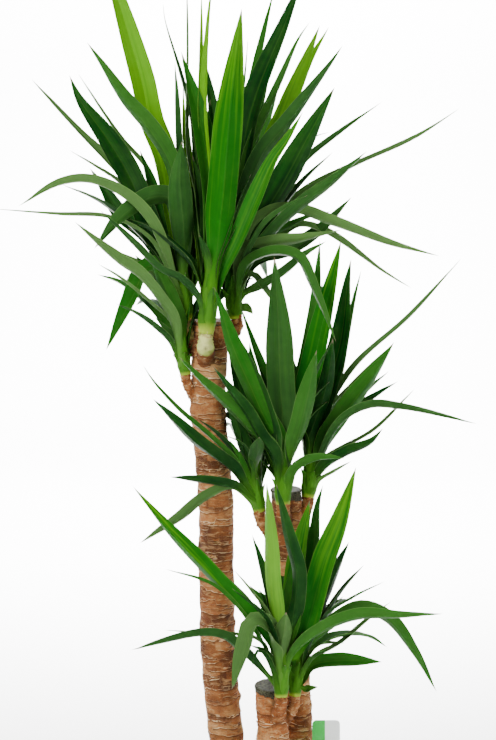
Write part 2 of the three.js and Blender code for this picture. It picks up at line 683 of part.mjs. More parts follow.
// The leaves of one head, each with its root sunk in the green stem, from low down to its heart
function headLeaves(head) {
  const base = sight(...head.base);
  const heart = sight(...head.heart);
  const traced = head.leaves.filter((row) => Array.isArray(row[4]));
  const hidden = head.leaves.filter((row) => !Array.isArray(row[4]));
  const seen = traced.map((row, place) => {
    const lift = LOWEST_ROOT + (ROOT_SPAN * place) / traced.length;
    return seenLeaf(base.clone().lerp(heart, lift), row);
  });
  const behind = hidden.map((row, place) => {
    const lift = HIGHEST_ROOT_BEHIND - (ROOT_SPAN_BEHIND * place) / hidden.length;
    return hiddenLeaf(base.clone().lerp(heart, lift), row);
  });
  return [...seen, ...behind];
}

function headGeometry(head) {
  const base = sight(...head.base);
  const heart = sight(...head.heart);
  const points = STEM_GIRTHS.map(([share]) => base.clone().lerp(heart, share));
  const radii = STEM_GIRTHS.map(([, girth]) => girth * head.radius);
  const stem = rod(points, radii, STEM_SIDES);
  const body = headLeaves(head).reduce((whole, leaf) => whole.add(solid(leaf)), solid(stem));
  return surface(body);
}

const yucca = new THREE.Group();

function addPiece(name, geometry, material) {
  const mesh = new THREE.Mesh(geometry, material);
  mesh.name = name;
  yucca.add(mesh);
  return mesh;
}

addPiece('pot', potGeometry(), POT_FINISH);
addPiece('soil', soilGeometry(), SOIL_FINISH);
addPiece('plant_label', labelGeometry(), LABEL_FINISH).position.copy(labelPlace());
for (const name of Object.keys(CANES)) {
  addPiece(`cane_${name}`, caneGeometry(name), finish(CANE_COLOURS[name], BARK_ROUGHNESS));
  addPiece(`wax_${name}`, waxGeometry(name), WAX_FINISH);
}
for (const [name, head] of Object.entries(HEADS)) {
  addPiece(`leaves_${name}`, headGeometry(head), finish(LEAF_COLOURS[head.cane], LEAF_ROUGHNESS));
}

export default yucca;
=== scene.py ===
"""The looks of a potted spineless yucca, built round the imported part.

Lengths of the plant are in millimetres, as in the part, and become metres where a mesh is made.
"""
import math

import bpy
import numpy as np
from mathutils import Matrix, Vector


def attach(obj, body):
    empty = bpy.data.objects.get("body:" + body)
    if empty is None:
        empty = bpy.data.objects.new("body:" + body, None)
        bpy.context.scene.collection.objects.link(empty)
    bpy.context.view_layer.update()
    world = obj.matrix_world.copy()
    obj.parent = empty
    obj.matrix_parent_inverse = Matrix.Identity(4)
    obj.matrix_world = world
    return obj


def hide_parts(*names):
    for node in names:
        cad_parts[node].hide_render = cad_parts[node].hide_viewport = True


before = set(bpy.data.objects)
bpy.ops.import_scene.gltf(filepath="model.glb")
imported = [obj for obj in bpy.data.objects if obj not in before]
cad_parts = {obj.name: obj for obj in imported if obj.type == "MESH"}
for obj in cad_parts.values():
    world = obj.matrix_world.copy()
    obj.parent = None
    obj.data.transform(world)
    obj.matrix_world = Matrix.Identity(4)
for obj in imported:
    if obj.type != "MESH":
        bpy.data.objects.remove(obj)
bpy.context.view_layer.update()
MM = 0.001
# Each kind of piece has its own run of random draws
BARK_SEED = 41
WAX_SEED = 61
LEAF_SEED = 81
SOIL_SEED = 101

# Pot and soil, as in the part
POT_HEIGHT = 245
POT_RIM_RADIUS = 140
POT_NECK_RADIUS = 132
POT_BASE_RADIUS = 98
POT_RIM_DEPTH = 24
POT_WALL = 3
POT_FLOOR = 4
POT_SIDES = 144
DRAIN_RADIUS = 5
DRAIN_COUNT = 6
DRAIN_CIRCLE = 68
DRAIN_SIDES = 28
SOIL_TOP = 225
SOIL_CROWN = 5
SOIL_SIDES = 150
SOIL_RINGS = 60
SOIL_CLEARANCE = 4
SOIL_WAVES = 26
SOIL_DIP = 3
SOIL_RELIEF = 0.34
CHIP_COUNT = 900
CHIP_SIZES = (1.4, 5.2)
CHIP_FLATS = (0.3, 0.6)
GRAIN_COUNT = 70
GRAIN_SIZES = (0.9, 1.8)
GRAIN_FLAT = 0.9

# Canes: bark rings, leaf scars and the wavy lumps between them
BARK_SIDES = 84
BARK_STEP = 2.4
ROOTED_DEPTH = 85
SCAR_SPACING = 10.5
SCAR_SPAN = 2.1
SCAR_STRETCH = (0.6, 1.25)
SCAR_SAG = (-1.5, 5.0)
SCAR_WAVES = (4, 7, 12)
SCAR_RELIEF = (0.3, 0.9)
PLATE_TONES = (0.05, 0.85)
SCAR_REACH = 4.0
SCAR_GROOVE = 1.2
GROOVE_DEPTH = 0.5
NO_SCAR = 1e3
NO_WAX = -50.0
SLOW_WAVES = (1, 2, 2, 3, 5)
QUICK_WAVES = (7, 11, 17, 23)
BARK_GRAIN = 0.16
KNOT_WIDTH = 9.0
KNOT_HEIGHT = 7.0
SLOW_LUMPS = 0.6
# Strength of the painted shade on the bark round each shoot
PAINTED_SHADE_SHARE = 0.55
FLAKE_COUNT = 90
FLAKE_WIDTHS = (2.0, 6.0)
FLAKE_HEIGHTS = (1.5, 4.0)
FLAKE_LIFTS = (0.5, 1.6)
SCALE_THICKNESS = 0.45
SCALE_PARTS = (-1, -0.3, 0.4, 1)
SHOOT_STRETCH = 14
SHOOT_GIRTHS = (1.5, 1.1, 0.85)
SHOOT_ROWS = 26
SHOOT_SIDES = 32
SHOOT_RED = 0.6
FIT_GAP = 0.3
WAX_WAVES = (2, 3, 5, 9)
WAX_LUMPS = 0.18

# Leaf blades: the width along the length as in the part, how they clasp the stem and how they curl
BLADE_ACROSS = (-1, -0.95, -0.7, -0.36, 0, 0.36, 0.7, 0.95, 1)
BLADE_STEP = 8.0
BLADE_ROWS = (14, 64)
NECK_WIDTH = 0.4
FULL_FROM = 0.28
FULL_TO = 0.55
POINT_POWER = 1.5
FACE_GAIN = 1.3
MOST_FACE = 84
WIDTH_GAIN = 1.07
FOLD = 0.39
FOLD_RANGE = (0.6, 1.3)
BODY_STARTS = (0.04, 0.3)
BODY_ENDS = (0.88, 1.0)
CLASP_SHARE = 0.42
CLASP_FROM = 0.35
CLASP_FADE = 30
CLASP_CURL = 1.25
CLASP_LEAN = 7
CLASP_LAYER = 1.8
CLASP_STEP = 1.5
BLADE_CURL = 0.3
ROOT_CURL = 0.45
TIP_CURL = 0.2
ROOT_CURL_LENGTH = 120
TIP_FROM = 0.7
SWAY = math.radians(3.5)
WAVE_LENGTHS = (24, 40)
TONE_SPREAD = 0.08
TWIST_LENGTH = 85
TWIST_SHARE = 0.4
UPRIGHT_FROM = 0.6
FLIP_GAIN = 0.3
THICK_ROOT = 2.2
THICK_TIP = 1.0
THIN_POWER = 0.7
THIN_FOOT = 0.35
THIN_FOOT_LENGTH = 25
THIN_EDGE = 0.7

# Green stems, as (share of the length, share of the radius), and leaf roots as in the part
STEM_GIRTHS = ((0, 0.92), (0.3, 1.1), (0.7, 1.05), (1, 0.5))
STEM_ROWS = 30
STEM_SIDES = 28
LOWEST_ROOT = 0.16
ROOT_SPAN = 0.76
HIGHEST_ROOT_BEHIND = 0.75
ROOT_SPAN_BEHIND = 0.6
DROOP_PIECES = 4
DROOP_POWER = 1.5
GOLDEN_TURN = math.radians(137.5)

# Plant label
LABEL_WIDTH = 45
LABEL_HEAD = 70
LABEL_POINT = 75
LABEL_CORNER = 7
LABEL_THICKNESS = 1
LABEL_EDGE = 0.35
LABEL_TOP = (125, -560, -30)
LABEL_BAND = 0.46

# The eye that the plant is laid out for, which is the camera's place too
VIEW_DISTANCE = 3000
VIEW_PITCH = math.radians(6.5)
VIEW_CENTRE = (-26, 0, 903)
VIEW_HEIGHT = 1184

# Each cane: its radius, its depth, the tilt of its cut top, how far down wax covers it, how red its
# fibres are, how brown its wax has aged, its middle line as (across, up) and its knots as (height
# above the soil, turn in degrees, size)
CANES = {
    "tall": {
        "radius": 28.5,
        "depth": 45,
        "tilt": 0.05,
        "dip": 1,
        "ruddy": 0.0,
        "aged": 0.9,
        "line": [
            (-59, 76), (-64, -48), (-58, -128), (-52, -208), (-50, -368), (-48, -448), (-35, -592),
            (-32, -682),
        ],
        "knots": [(352, 182, 4.0), (130, 2, 4.5), (255, 2, 3.0), (500, 90, 4.0), (610, 200, 3.0)],
    },
    "medium": {
        "radius": 24.5,
        "depth": 20,
        "tilt": 0.08,
        "dip": 12,
        "ruddy": 0.3,
        "aged": 0.0,
        "line": [(61, -194), (64, -270), (70, -400), (80, -592), (82, -682)],
        "knots": [(120, 5, 3.0), (260, 80, 3.5)],
    },
    "small": {
        "radius": 25,
        "depth": -50,
        "tilt": 0.16,
        "dip": 8,
        "ruddy": 1.0,
        "aged": 0.0,
        "line": [(36, -508), (41, -592), (43, -682)],
        "knots": [(90, 185, 2.5)],
    },
}

# Each head: its cane, where its shoot leaves the cane and where its green stem begins and ends, all
# as (across, up, depth), its stem's radius, and its leaves from the lowest to the youngest. A leaf
# in view is (tone, width, depth of the tip from the root, face at the root, face at the tip, then
# (across, up) from near the root to the tip). A leaf behind is (tone, width, heading, rise, length,
# droop). Tones: d deep, g greyish, m middle, v vivid, y young, s sage.
HEADS = {
    "tall_left": {
        "cane": "tall", "shoot": (-82, 26, 45), "base": (-98, 80, 40),
        "heart": (-106, 176, 38), "radius": 9.5,
        "leaves": [
            ("m", 28, 20, 30, 55, (-128, 158), (-160, 164), (-182, 122), (-227, 32)),
            ("s", 18, 90, 30, 20, (-157, 157), (-189, 176), (-224, 195)),
            ("d", 20, 70, 40, 40, (-112, 125), (-141, 139), (-181, 184)),
            ("s", 14, -70, 15, 15, (-157, 208), (-218, 242), (-301, 248), (-407, 258)),
            ("g", 24, 50, 45, 45, (-133, 179), (-160, 208), (-192, 227)),
            ("s", 26, -120, -30, -35, (-157, 232), (-197, 275), (-253, 301), (-298, 298), (-368, 262)),
            ("d", 30, 120, 50, 60, (-157, 208), (-208, 253), (-229, 288), (-253, 323)),
            ("s", 14, 60, 20, 20, (-157, 248), (-205, 299), (-245, 326), (-286, 352)),
            ("s", 18, 160, -30, -35, (-157, 248), (-216, 325), (-269, 379), (-347, 466)),
            ("d", 38, 90, 50, 65, (-157, 224), (-187, 304), (-224, 368), (-269, 432), (-286, 472)),
            ("s", 12, 170, -20, -30, (-157, 310), (-200, 365), (-237, 419), (-272, 475)),
            ("g", 34, -66, -45, -50, (-112, 236), (-124, 274), (-152, 277), (-200, 248), (-246, 194)),
            ("m", 34, -60, -35, -45, (-122, 323), (-157, 384), (-197, 432), (-238, 496), (-258, 525)),
            ("y", 38, 60, 55, 60, (-133, 336), (-157, 400), (-171, 464), (-189, 528), (-243, 706)),
            ("d", 26, 70, 40, 40, (-118, 170), (-141, 240), (-157, 300), (-173, 352)),
            ("g", 24, 40, 35, 35, (-112, 210), (-125, 260), (-133, 325)),
            ("g", 22, -10, -30, -30, (-110, 272), (-114, 352), (-117, 493)),
            ("g", 36, -120, -80, -75, (-102, 208), (-107, 272), (-109, 304), (-106, 366)),
            ("d", 30, 98, 50, 360, 45),
            ("d", 28, 84, 32, 360, 50),
            ("m", 24, 112, 14, 330, 50),
            ("d", 28, 85, 80, 280, 10),
            ("d", 28, 160, 56, 290, 40),
            ("d", 26, 125, 64, 220, 30),
        ],
    },
    "tall_low": {
        "cane": "tall", "shoot": (-72, -62, 44), "base": (-100, -6, 30),
        "heart": (-109, 54, 20), "radius": 8,
        "leaves": [
            ("g", 16, -10, 40, 40, (-112, 43), (-133, 64), (-149, 85)),
            ("s", 14, -30, 20, 20, (-122, 72), (-157, 107), (-205, 147), (-240, 170)),
            ("s", 26, -90, -30, -45, (-118, 72), (-141, 112), (-173, 150), (-205, 173), (-277, 237)),
            ("m", 26, -30, 50, 60, (-108, 66), (-122, 104), (-136, 139), (-157, 184)),
            ("d", 22, 112, 32, 240, 50),
            ("m", 22, 140, 48, 230, 40),
            ("d", 20, 200, 52, 150, 30),
        ],
    },
    "tall_front": {
        "cane": "tall", "shoot": (-66, 16, 30), "base": (-67, 59, 0),
        "heart": (-59, 163, -4), "radius": 11,
        "leaves": [
            ("g", 18, -60, -40, -30, (-78, 108), (-109, 144), (-141, 160), (-184, 203), (-237, 256)),
            ("g", 14, 100, 20, 20, (-74, 272), (-99, 432), (-133, 560), (-136, 587)),
            ("v", 28, 15, 40, 50, (-42, 152), (-16, 208), (11, 272), (40, 336), (62, 368), (88, 413)),
            ("y", 18, 90, 35, 35, (-90, 300), (-102, 376), (-104, 456)),
            ("s", 12, 80, 15, 15, (-84, 272), (-98, 352), (-98, 496), (-98, 640)),
            ("y", 20, 60, 20, 20, (-69, 272), (-80, 400), (-78, 496), (-74, 611)),
            ("y", 22, 45, 25, 25, (-58, 272), (-67, 432), (-62, 560), (-56, 632)),
            ("m", 12, 60, 20, 20, (-34, 272), (-21, 352), (-6, 448), (0, 531)),
            ("d", 24, 60, 45, 45, (-72, 240), (-82, 320), (-92, 400)),
            ("m", 36, 40, 50, 50, (-58, 250), (-66, 340), (-80, 410), (-97, 472), (-107, 510)),
            ("v", 45, -45, 80, 75, (-48, 208), (-38, 304), (-27, 432), (-10, 579)),
            ("g", 14, -35, -60, -60, (-66, 176), (-78, 216)),
            ("d", 30, 90, 82, 300, 8),
            ("d", 26, 130, 82, 230, 6),
            ("d", 28, 20, 76, 230, 12),
        ],
    },
    "tall_right": {
        "cane": "tall", "shoot": (-48, 44, 56), "base": (-20, 82, 72),
        "heart": (-32, 172, 75), "radius": 10,
        "leaves": [
            ("s", 12, 10, 30, 30, (-6, 96), (8, 90)),
            ("m", 22, -130, -35, -40, (-5, 163), (22, 182), (51, 187), (80, 178), (102, 136), (141, 45)),
            ("s", 16, -20, 30, 30, (3, 152), (26, 128), (58, 85)),
            ("g", 24, -60, -30, -35, (-6, 120), (22, 131), (59, 154), (91, 182), (125, 206)),
            ("s", 20, 120, 20, 25, (3, 176), (59, 216), (83, 230), (118, 222), (219, 155), (262, 131)),
            ("s", 24, -60, -40, -40, (-5, 189), (27, 200), (91, 210), (149, 224)),
            ("s", 22, -40, -40, -40, (3, 221), (38, 254), (83, 256), (131, 238), (227, 203), (307, 182)),
            ("m", 18, 60, -25, -30, (20, 205), (59, 227), (91, 242), (134, 254)),
            ("g", 26, 90, 40, 40, (16, 170), (67, 189), (123, 229), (166, 277)),
            ("s", 16, 150, 25, 30, (11, 208), (83, 280), (163, 323), (275, 376), (339, 419)),
            ("g", 26, -80, 35, 40, (35, 213), (83, 261), (139, 304), (190, 350)),
            ("g", 14, -100, 30, 30, (24, 228), (59, 259), (96, 280)),
            ("g", 18, 70, 25, 25, (19, 232), (88, 328), (147, 378), (214, 429)),
            ("d", 14, 110, 20, 20, (20, 232), (59, 288), (104, 370), (131, 381)),
            ("d", 42, -25, 50, 55, (3, 208), (35, 264), (59, 304), (93, 368), (139, 453)),
            ("g", 28, -60, -40, -45, (-8, 256), (22, 344), (67, 400), (123, 477), (152, 520)),
            ("y", 36, 70, 50, 55, (11, 288), (58, 400), (75, 448), (115, 552)),
            ("y", 26, 110, 45, 50, (18, 300), (67, 416), (99, 493), (130, 550)),
            ("m", 22, 10, -30, -35, (2, 344), (32, 416), (53, 464), (82, 531), (99, 557)),
            ("d", 20, 130, 40, 40, (-5, 272), (22, 416), (32, 458)),
            ("d", 36, 20, 50, 50, (-16, 272), (-2, 384), (16, 448), (62, 560), (91, 637)),
            ("m", 22, 100, 40, 40, (-8, 290), (-3, 352), (16, 488), (42, 611)),
            ("m", 34, 74, 58, 430, 30),
            ("m", 30, 98, 40, 410, 50),
            ("d", 28, 80, 20, 380, 55),
            ("d", 26, 106, 72, 420, 15),
            ("d", 30, 160, 82, 310, 8),
            ("d", 28, 20, 64, 300, 25),
            ("d", 28, 50, 50, 220, 20),
        ],
    },
    "medium_left": {
        "cane": "medium", "shoot": (54, -282, 19), "base": (18, -226, 12),
        "heart": (6, -150, 8), "radius": 9,
        "leaves": [
            ("s", 22, -110, -40, -50, (-5, -202), (-26, -189), (-69, -205), (-109, -237), (-173, -277)),
            ("d", 20, -90, -45, -45, (-14, -192), (-29, -187), (-77, -178), (-125, -171)),
            ("d", 28, -110, 40, 45, (-21, -165), (-53, -139), (-85, -115), (-117, -83), (-152, -46)),
            ("m", 12, -130, 35, 40, (-21, -147), (-61, -107), (-109, -66), (-149, -22), (-168, 8)),
            ("m", 12, -50, 45, 50, (-8, -156), (-29, -112)),
            ("g", 10, -80, 15, 15, (-5, -123), (-42, -102)),
            ("d", 24, -10, 50, 50, (0, -150), (-10, -110), (-26, -60), (-34, -24)),
            ("d", 30, 20, 66, 70, (8, -140), (0, -80), (-12, -10), (-22, 40), (-30, 66)),
            ("m", 26, 30, 72, 84, (16, -140), (18, -80), (8, 0), (2, 44)),
            ("g", 22, -125, -70, -70, (14, -136), (18, -107)),
            ("d", 28, 92, 50, 300, 45),
            ("d", 26, 100, 30, 300, 50),
            ("d", 24, 215, 58, 170, 25),
            ("m", 22, 110, 64, 150, 20),
        ],
    },
    "medium_centre": {
        "cane": "medium", "shoot": (58, -250, 8), "base": (56, -214, -18),
        "heart": (54, -140, -22), "radius": 10,
        "leaves": [
            ("m", 24, -70, -30, -40, (69, -184), (80, -160), (110, -144), (155, -141)),
            ("g", 14, 10, -20, -20, (43, -173), (22, -147)),
            ("m", 28, -50, 40, 45, (43, -140), (19, -112), (-29, -61), (-77, -16), (-110, 21)),
            ("d", 24, -60, 40, 45, (40, -135), (22, -112), (-5, -64), (-29, -32), (-56, 6)),
            ("d", 28, 25, 45, 45, (40, -120), (6, -90), (-13, -32), (-37, 72)),
            ("m", 34, -40, 50, 50, (50, -120), (27, -77), (3, -24), (-22, 32), (-54, 133)),
            ("m", 20, 60, 35, 35, (48, -90), (35, -40), (6, 45), (-13, 104)),
            ("v", 36, 60, 50, 55, (64, -130), (80, -80), (99, -16), (128, 112), (149, 208)),
            ("m", 26, 100, 45, 50, (70, -96), (102, 48), (112, 144), (115, 208)),
            ("m", 32, -60, -50, -55, (66, -150), (83, -96), (94, -48), (110, 32)),
            ("g", 14, 60, 30, 30, (44, -90), (38, -16), (40, 32), (38, 85)),
            ("g", 42, 10, 80, 75, (56, -96), (51, -16), (48, 80), (42, 182)),
            ("d", 28, 92, 66, 330, 25),
            ("d", 28, 200, 76, 250, 12),
            ("d", 28, 350, 76, 240, 12),
            ("m", 26, 100, 56, 150, 35),
        ],
    },
    "medium_right": {
        "cane": "medium", "shoot": (72, -262, 21), "base": (96, -203, 27),
        "heart": (103, -135, 31), "radius": 9.5,
        "leaves": [
            ("s", 12, -20, 20, 20, (115, -178), (139, -163), (165, -146)),
            ("d", 24, -60, 40, 40, (107, -179), (123, -157), (155, -136), (198, -115), (216, -93)),
            ("s", 12, 60, 15, 15, (118, -148), (147, -128), (203, -96), (267, -30)),
            ("g", 20, -90, -30, -35, (112, -152), (150, -84), (195, -59), (243, -61), (366, -86)),
            ("d", 20, 110, 30, 30, (116, -131), (147, -83), (211, -37), (240, -18)),
            ("m", 34, -30, 45, 55, (118, -131), (147, -80), (198, -11), (234, 45)),
            ("s", 14, 50, 25, 25, (110, -112), (128, -64), (170, 5), (258, 85), (341, 178)),
            ("s", 14, 110, -20, -20, (108, -100), (112, -83), (163, -29), (227, 38)),
            ("m", 18, 90, 30, 30, (112, -112), (147, -16), (171, 112), (181, 160)),
            ("d", 34, 20, 50, 50, (98, -136), (123, -48), (149, 48), (160, 144), (165, 178)),
            ("d", 32, -40, 50, 55, (92, -130), (119, -48), (130, 0), (136, 51)),
            ("m", 28, 84, 60, 380, 30),
            ("m", 26, 70, 36, 340, 50),
            ("d", 26, 150, 82, 220, 8),
            ("d", 24, 20, 62, 230, 25),
        ],
    },
    "small_front": {
        "cane": "small", "shoot": (41, -568, -56), "base": (53, -522, -86),
        "heart": (54, -436, -88), "radius": 9,
        "leaves": [
            ("d", 16, -30, 15, 15, (32, -468), (18, -450), (6, -474)),
            ("g", 20, -70, -40, -45, (36, -496), (-13, -448), (-37, -429), (-77, -424), (-187, -448)),
            ("g", 14, -20, 30, 30, (29, -456), (3, -440)),
            ("s", 12, -20, 20, 20, (20, -436), (-18, -424), (-77, -421), (-134, -416)),
            ("m", 24, -60, -45, -45, (67, -464), (83, -443), (131, -410), (179, -395), (243, -395),
             (312, -390)),
            ("s", 30, -50, -75, -75, (51, -462), (54, -438), (58, -414), (61, -387)),
            ("s", 36, -100, -20, 55, (40, -446), (28, -412), (10, -408), (-2, -440), (-26, -512)),
            ("m", 12, -40, 20, 20, (11, -420), (-21, -376), (-58, -344), (-133, -318)),
            ("v", 30, -60, 40, 45, (38, -446), (11, -406), (-61, -328), (-133, -251), (-184, -186)),
            ("d", 14, -90, -30, -30, (30, -402), (-26, -349)),
            ("s", 12, -20, 20, 20, (36, -400), (3, -352), (-22, -320)),
            ("v", 36, 15, 50, 60, (70, -460), (90, -424), (123, -304), (147, -240), (173, -155)),
            ("m", 32, 10, 60, 60, (67, -420), (72, -368), (74, -304)),
            ("y", 28, -30, -40, -45, (44, -400), (37, -336), (34, -272), (30, -181)),
            ("d", 26, -50, -40, -45, (68, -420), (78, -328), (67, -280), (45, -182)),
            ("d", 26, 190, 62, 190, 25),
            ("m", 22, 165, 66, 130, 30),
            ("d", 26, 140, 78, 230, 8),
        ],
    },
    "small_back": {
        "cane": "small", "shoot": (50, -570, -49), "base": (75, -521, -50),
        "heart": (78, -440, -44), "radius": 8,
        "leaves": [
            ("g", 12, -10, 20, 20, (91, -515), (112, -507)),
            ("m", 24, 30, 40, 40, (90, -496), (102, -474), (139, -466), (214, -467)),
            ("g", 14, -20, 30, 30, (102, -465), (130, -445)),
            ("s", 10, 60, 20, 20, (100, -455), (115, -440), (155, -437)),
            ("m", 26, 20, -45, -45, (91, -456), (131, -413), (180, -384), (224, -400), (264, -451),
             (302, -515)),
            ("s", 12, 110, 15, 15, (98, -464), (147, -438), (190, -402), (229, -370)),
            ("g", 12, -15, 20, 20, (88, -450), (123, -395), (171, -363), (219, -338)),
            ("d", 28, -10, 40, 45, (88, -450), (123, -368), (136, -336), (162, -274)),
            ("v", 14, 50, 20, 20, (78, -420), (88, -360), (101, -216)),
            ("d", 26, 35, 45, 45, (86, -400), (107, -272), (112, -216), (120, -184)),
            ("v", 32, 20, 50, 50, (70, -400), (77, -328), (86, -272), (99, -208)),
            ("m", 24, 36, 20, 200, 60),
            ("d", 22, 60, 38, 220, 50),
            ("d", 26, 60, 66, 220, 20),
            ("d", 26, 0, 68, 220, 20),
        ],
    },
}

# Studio, in metres: the backdrop curves up behind the floor
STUDIO_SIZE = 9.0
STUDIO_BEHIND = 4.5
STUDIO_BEND = 1.6
SKY_STRENGTH = 0.55
PLANT_MIDDLE = (0, 0, 0.95)
# Each lamp: its place, what it is aimed at, its width, its power, its colour and its spread in degrees
LAMPS = {
    "key_lamp": ((-1.7, -2.4, 2.9), PLANT_MIDDLE, 1.6, 172, (1, 0.99, 0.97), 180),
    "fill_lamp": ((2.3, -2.2, 1.6), PLANT_MIDDLE, 2.2, 62, (1, 1, 1), 180),
    "back_lamp": ((0.6, 2.6, 3.0), PLANT_MIDDLE, 2.0, 60, (1, 1, 1), 180),
    "backdrop_lamp": ((0, 2.2, 4.2), (0, 5.6, 1.2), 3.0, 2600, (1, 1, 1), 150),
}

# Each tone as (place on the way from deep to young green, share of sage grey)
TONES = {
    "d": (0.02, 0.0),
    "g": (0.12, 0.45),
    "m": (0.4, 0.06),
    "v": (0.68, 0.0),
    "y": (1.0, 0.0),
    "s": (0.42, 0.85),
}
# The greens from the deepest to the youngest
LEAF_GREENS = ((0.0, "062a0b"), (0.4, "1b4f0d"), (0.72, "085203"), (1.0, "528c08"))
# How cream and green the top of a young shoot still is, how far down, and where its dark scar sits
STUBS = {"tall_front": 0.95, "tall_left": 0.4}
STUB_LENGTH = 28
SCAR_DOT = 18
# How far up the green stems are cream at the foot
CREAM_FEET = {"tall_front": 24, "tall_left": 14}
CREAM_FOOT = 8
CREAM_FADE = 40
PAST_CREAM = 20.0
# Torn scales round the foot of each green stem, with half their width in radians
COLLAR_SCALES = 16
COLLAR_WIDTHS = (0.25, 0.5)
COLLAR_HEIGHTS = (3.0, 9.0)
COLLAR_STARTS = (-12.0, -2.0)
COLLAR_FLARES = (1.0, 3.0)
# Usual length of the upright leaves on each cane
LEAF_LENGTHS = {"tall": 300, "medium": 250, "small": 200}
# Short inner leaves of each head, behind the others: their count, then the ranges that they are drawn
# from, as shares of the stem, degrees round it, shares of the usual length, degrees of rise and droop,
# and widths
INNER_LEAVES = {
    "tall_left": 9, "tall_low": 3, "tall_front": 8, "tall_right": 9, "medium_left": 6,
    "medium_centre": 8, "medium_right": 6, "small_front": 6, "small_back": 4,
}
INNER_ROOTS = (0.35, 0.8)
INNER_TURNS = (-5, 185)
INNER_LENGTHS = (0.5, 0.8)
INNER_RISES = (48, 80)
INNER_DROOPS = (5, 45)
INNER_WIDTHS = (20, 30)
INNER_TONES = "dm"
# Short bracts at the foot of each green stem, as (share of the length, lean away from the stem)
SHEATH_COUNT = 5
SHEATH_LEANS = ((0.5, 3), (1, 8))
# How strongly the blades of each tone are pleated lengthwise and waved at their margins
PLEATS = {"d": 0.002, "g": 0.003, "m": 0.003, "v": 0.003, "y": 0.003, "s": 0.003}
WAVES = {"d": 0.05, "g": 0.1, "m": 0.07, "v": 0.04, "y": 0.04, "s": 0.12}


def unit(vectors):
    lengths = np.linalg.norm(vectors, axis=-1, keepdims=True)
    return vectors / np.maximum(lengths, 1e-9)


def smooth(value, start, end):
    share = np.clip((value - start) / (end - start), 0, 1)
    return share * share * (3 - 2 * share)


def wrapped(angles):
    return (angles + np.pi) % (2 * np.pi) - np.pi


def rounds(count):
    """Even turns once round, in radians."""
    return 2 * np.pi * np.arange(count) / count


def sight(across, up, depth):
    """The point at a given depth on the line of sight through across and up."""
    forward = VIEW_DISTANCE * math.cos(VIEW_PITCH)
    drop = VIEW_DISTANCE * math.sin(VIEW_PITCH)
    scale = (depth + forward) / (forward + up * math.sin(VIEW_PITCH))
    height = drop + (up * math.cos(VIEW_PITCH) - drop) * scale
    return np.array([VIEW_CENTRE[0] + across * scale, depth, VIEW_CENTRE[2] + height])


class Route:
    """A smooth line through points, measured by its length."""

    def __init__(self, points, fine=40):
        points = [np.asarray(point, float) for point in points]
        chain = [2 * points[0] - points[1], *points, 2 * points[-1] - points[-2]]
        spots = []
        for first in range(len(points) - 1):
            spots.append(self.stretch(chain[first:first + 4], np.arange(fine) / fine))
        spots.append(points[-1][None, :])
        self.spots = np.concatenate(spots)
        steps = np.linalg.norm(np.diff(self.spots, axis=0), axis=1)
        self.reach = np.concatenate([[0], np.cumsum(steps)])
        self.length = self.reach[-1]
        self.slopes = unit(np.gradient(self.spots, axis=0))

    @staticmethod
    def stretch(four, shares):
        before, start, end, after = four
        spans = [np.linalg.norm(b - a) ** 0.5 for a, b in zip(four, four[1:])]
        middle = max(spans[1], 1e-4)
        one = spans[0] if spans[0] > 1e-4 else middle
        three = spans[2] if spans[2] > 1e-4 else middle
        leave = (start - before) / one - (end - before) / (one + middle) + (end - start) / middle
        reach = (end - start) / middle - (after - start) / (middle + three) + (after - end) / three
        leave = leave * middle
        reach = reach * middle
        square = -3 * start + 3 * end - 2 * leave - reach
        cube = 2 * start - 2 * end + leave + reach
        t = shares[:, None]
        return start + leave * t + square * t ** 2 + cube * t ** 3

    def sample(self, table, shares):
        wanted = np.asarray(shares) * self.length
        return np.stack([np.interp(wanted, self.reach, table[:, axis]) for axis in range(3)], axis=1)

    def at(self, shares):
        return self.sample(self.spots, shares)

    def along(self, shares):
        return unit(self.sample(self.slopes, shares))


class Skin:
    """Vertices, faces and per-vertex values gathered for one mesh."""

    def __init__(self, values):
        self.values = {name: [] for name in values}
        self.points = []
        self.faces = []
        self.count = 0

    def add(self, points, faces, **values):
        points = np.asarray(points, float).reshape(-1, 3)
        self.points.append(points)
        for face in faces:
            self.faces.append([self.count + corner for corner in face])
        for name, held in self.values.items():
            value = np.broadcast_to(np.asarray(values.get(name, 0.0), float).reshape(-1), (len(points),))
            held.append(value)
        self.count += len(points)

    def grid(self, rows, tip=None, **values):
        """A closed skin over rings of points, counterclockwise as seen from the far end."""
        count, sides = rows.shape[:2]
        points = rows.reshape(-1, 3)
        faces = []
        for row in range(count - 1):
            for side in range(sides):
                near = row * sides + side
                next_one = row * sides + (side + 1) % sides
                faces.append([near, next_one, next_one + sides, near + sides])
        last = (count - 1) * sides
        faces.append(list(range(sides))[::-1])
        if tip is not None:
            points = np.concatenate([points, tip[None, :]])
            for side in range(sides):
                faces.append([last + side, last + (side + 1) % sides, count * sides])
        else:
            faces.append([last + side for side in range(sides)])
        self.add(points, faces, **values)

    def build(self, name, material, sharp=40):
        mesh = bpy.data.meshes.new(name)
        points = np.concatenate(self.points) * MM
        mesh.from_pydata(points.tolist(), [], self.faces)
        for value, held in self.values.items():
            layer = mesh.attributes.new(value, "FLOAT", "POINT")
            layer.data.foreach_set("value", np.concatenate(held).astype(np.float32))
        mesh.materials.append(material)
        mesh.validate()
        mesh.update()
        mesh.shade_smooth()
        mesh.set_sharp_from_angle(angle=math.radians(sharp))
        piece = bpy.data.objects.new(name, mesh)
        bpy.context.scene.collection.objects.link(piece)
        return piece


def place(piece, slot, *nodes):
    """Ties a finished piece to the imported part."""
    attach(piece, "root")
    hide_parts(*nodes)


# Materials

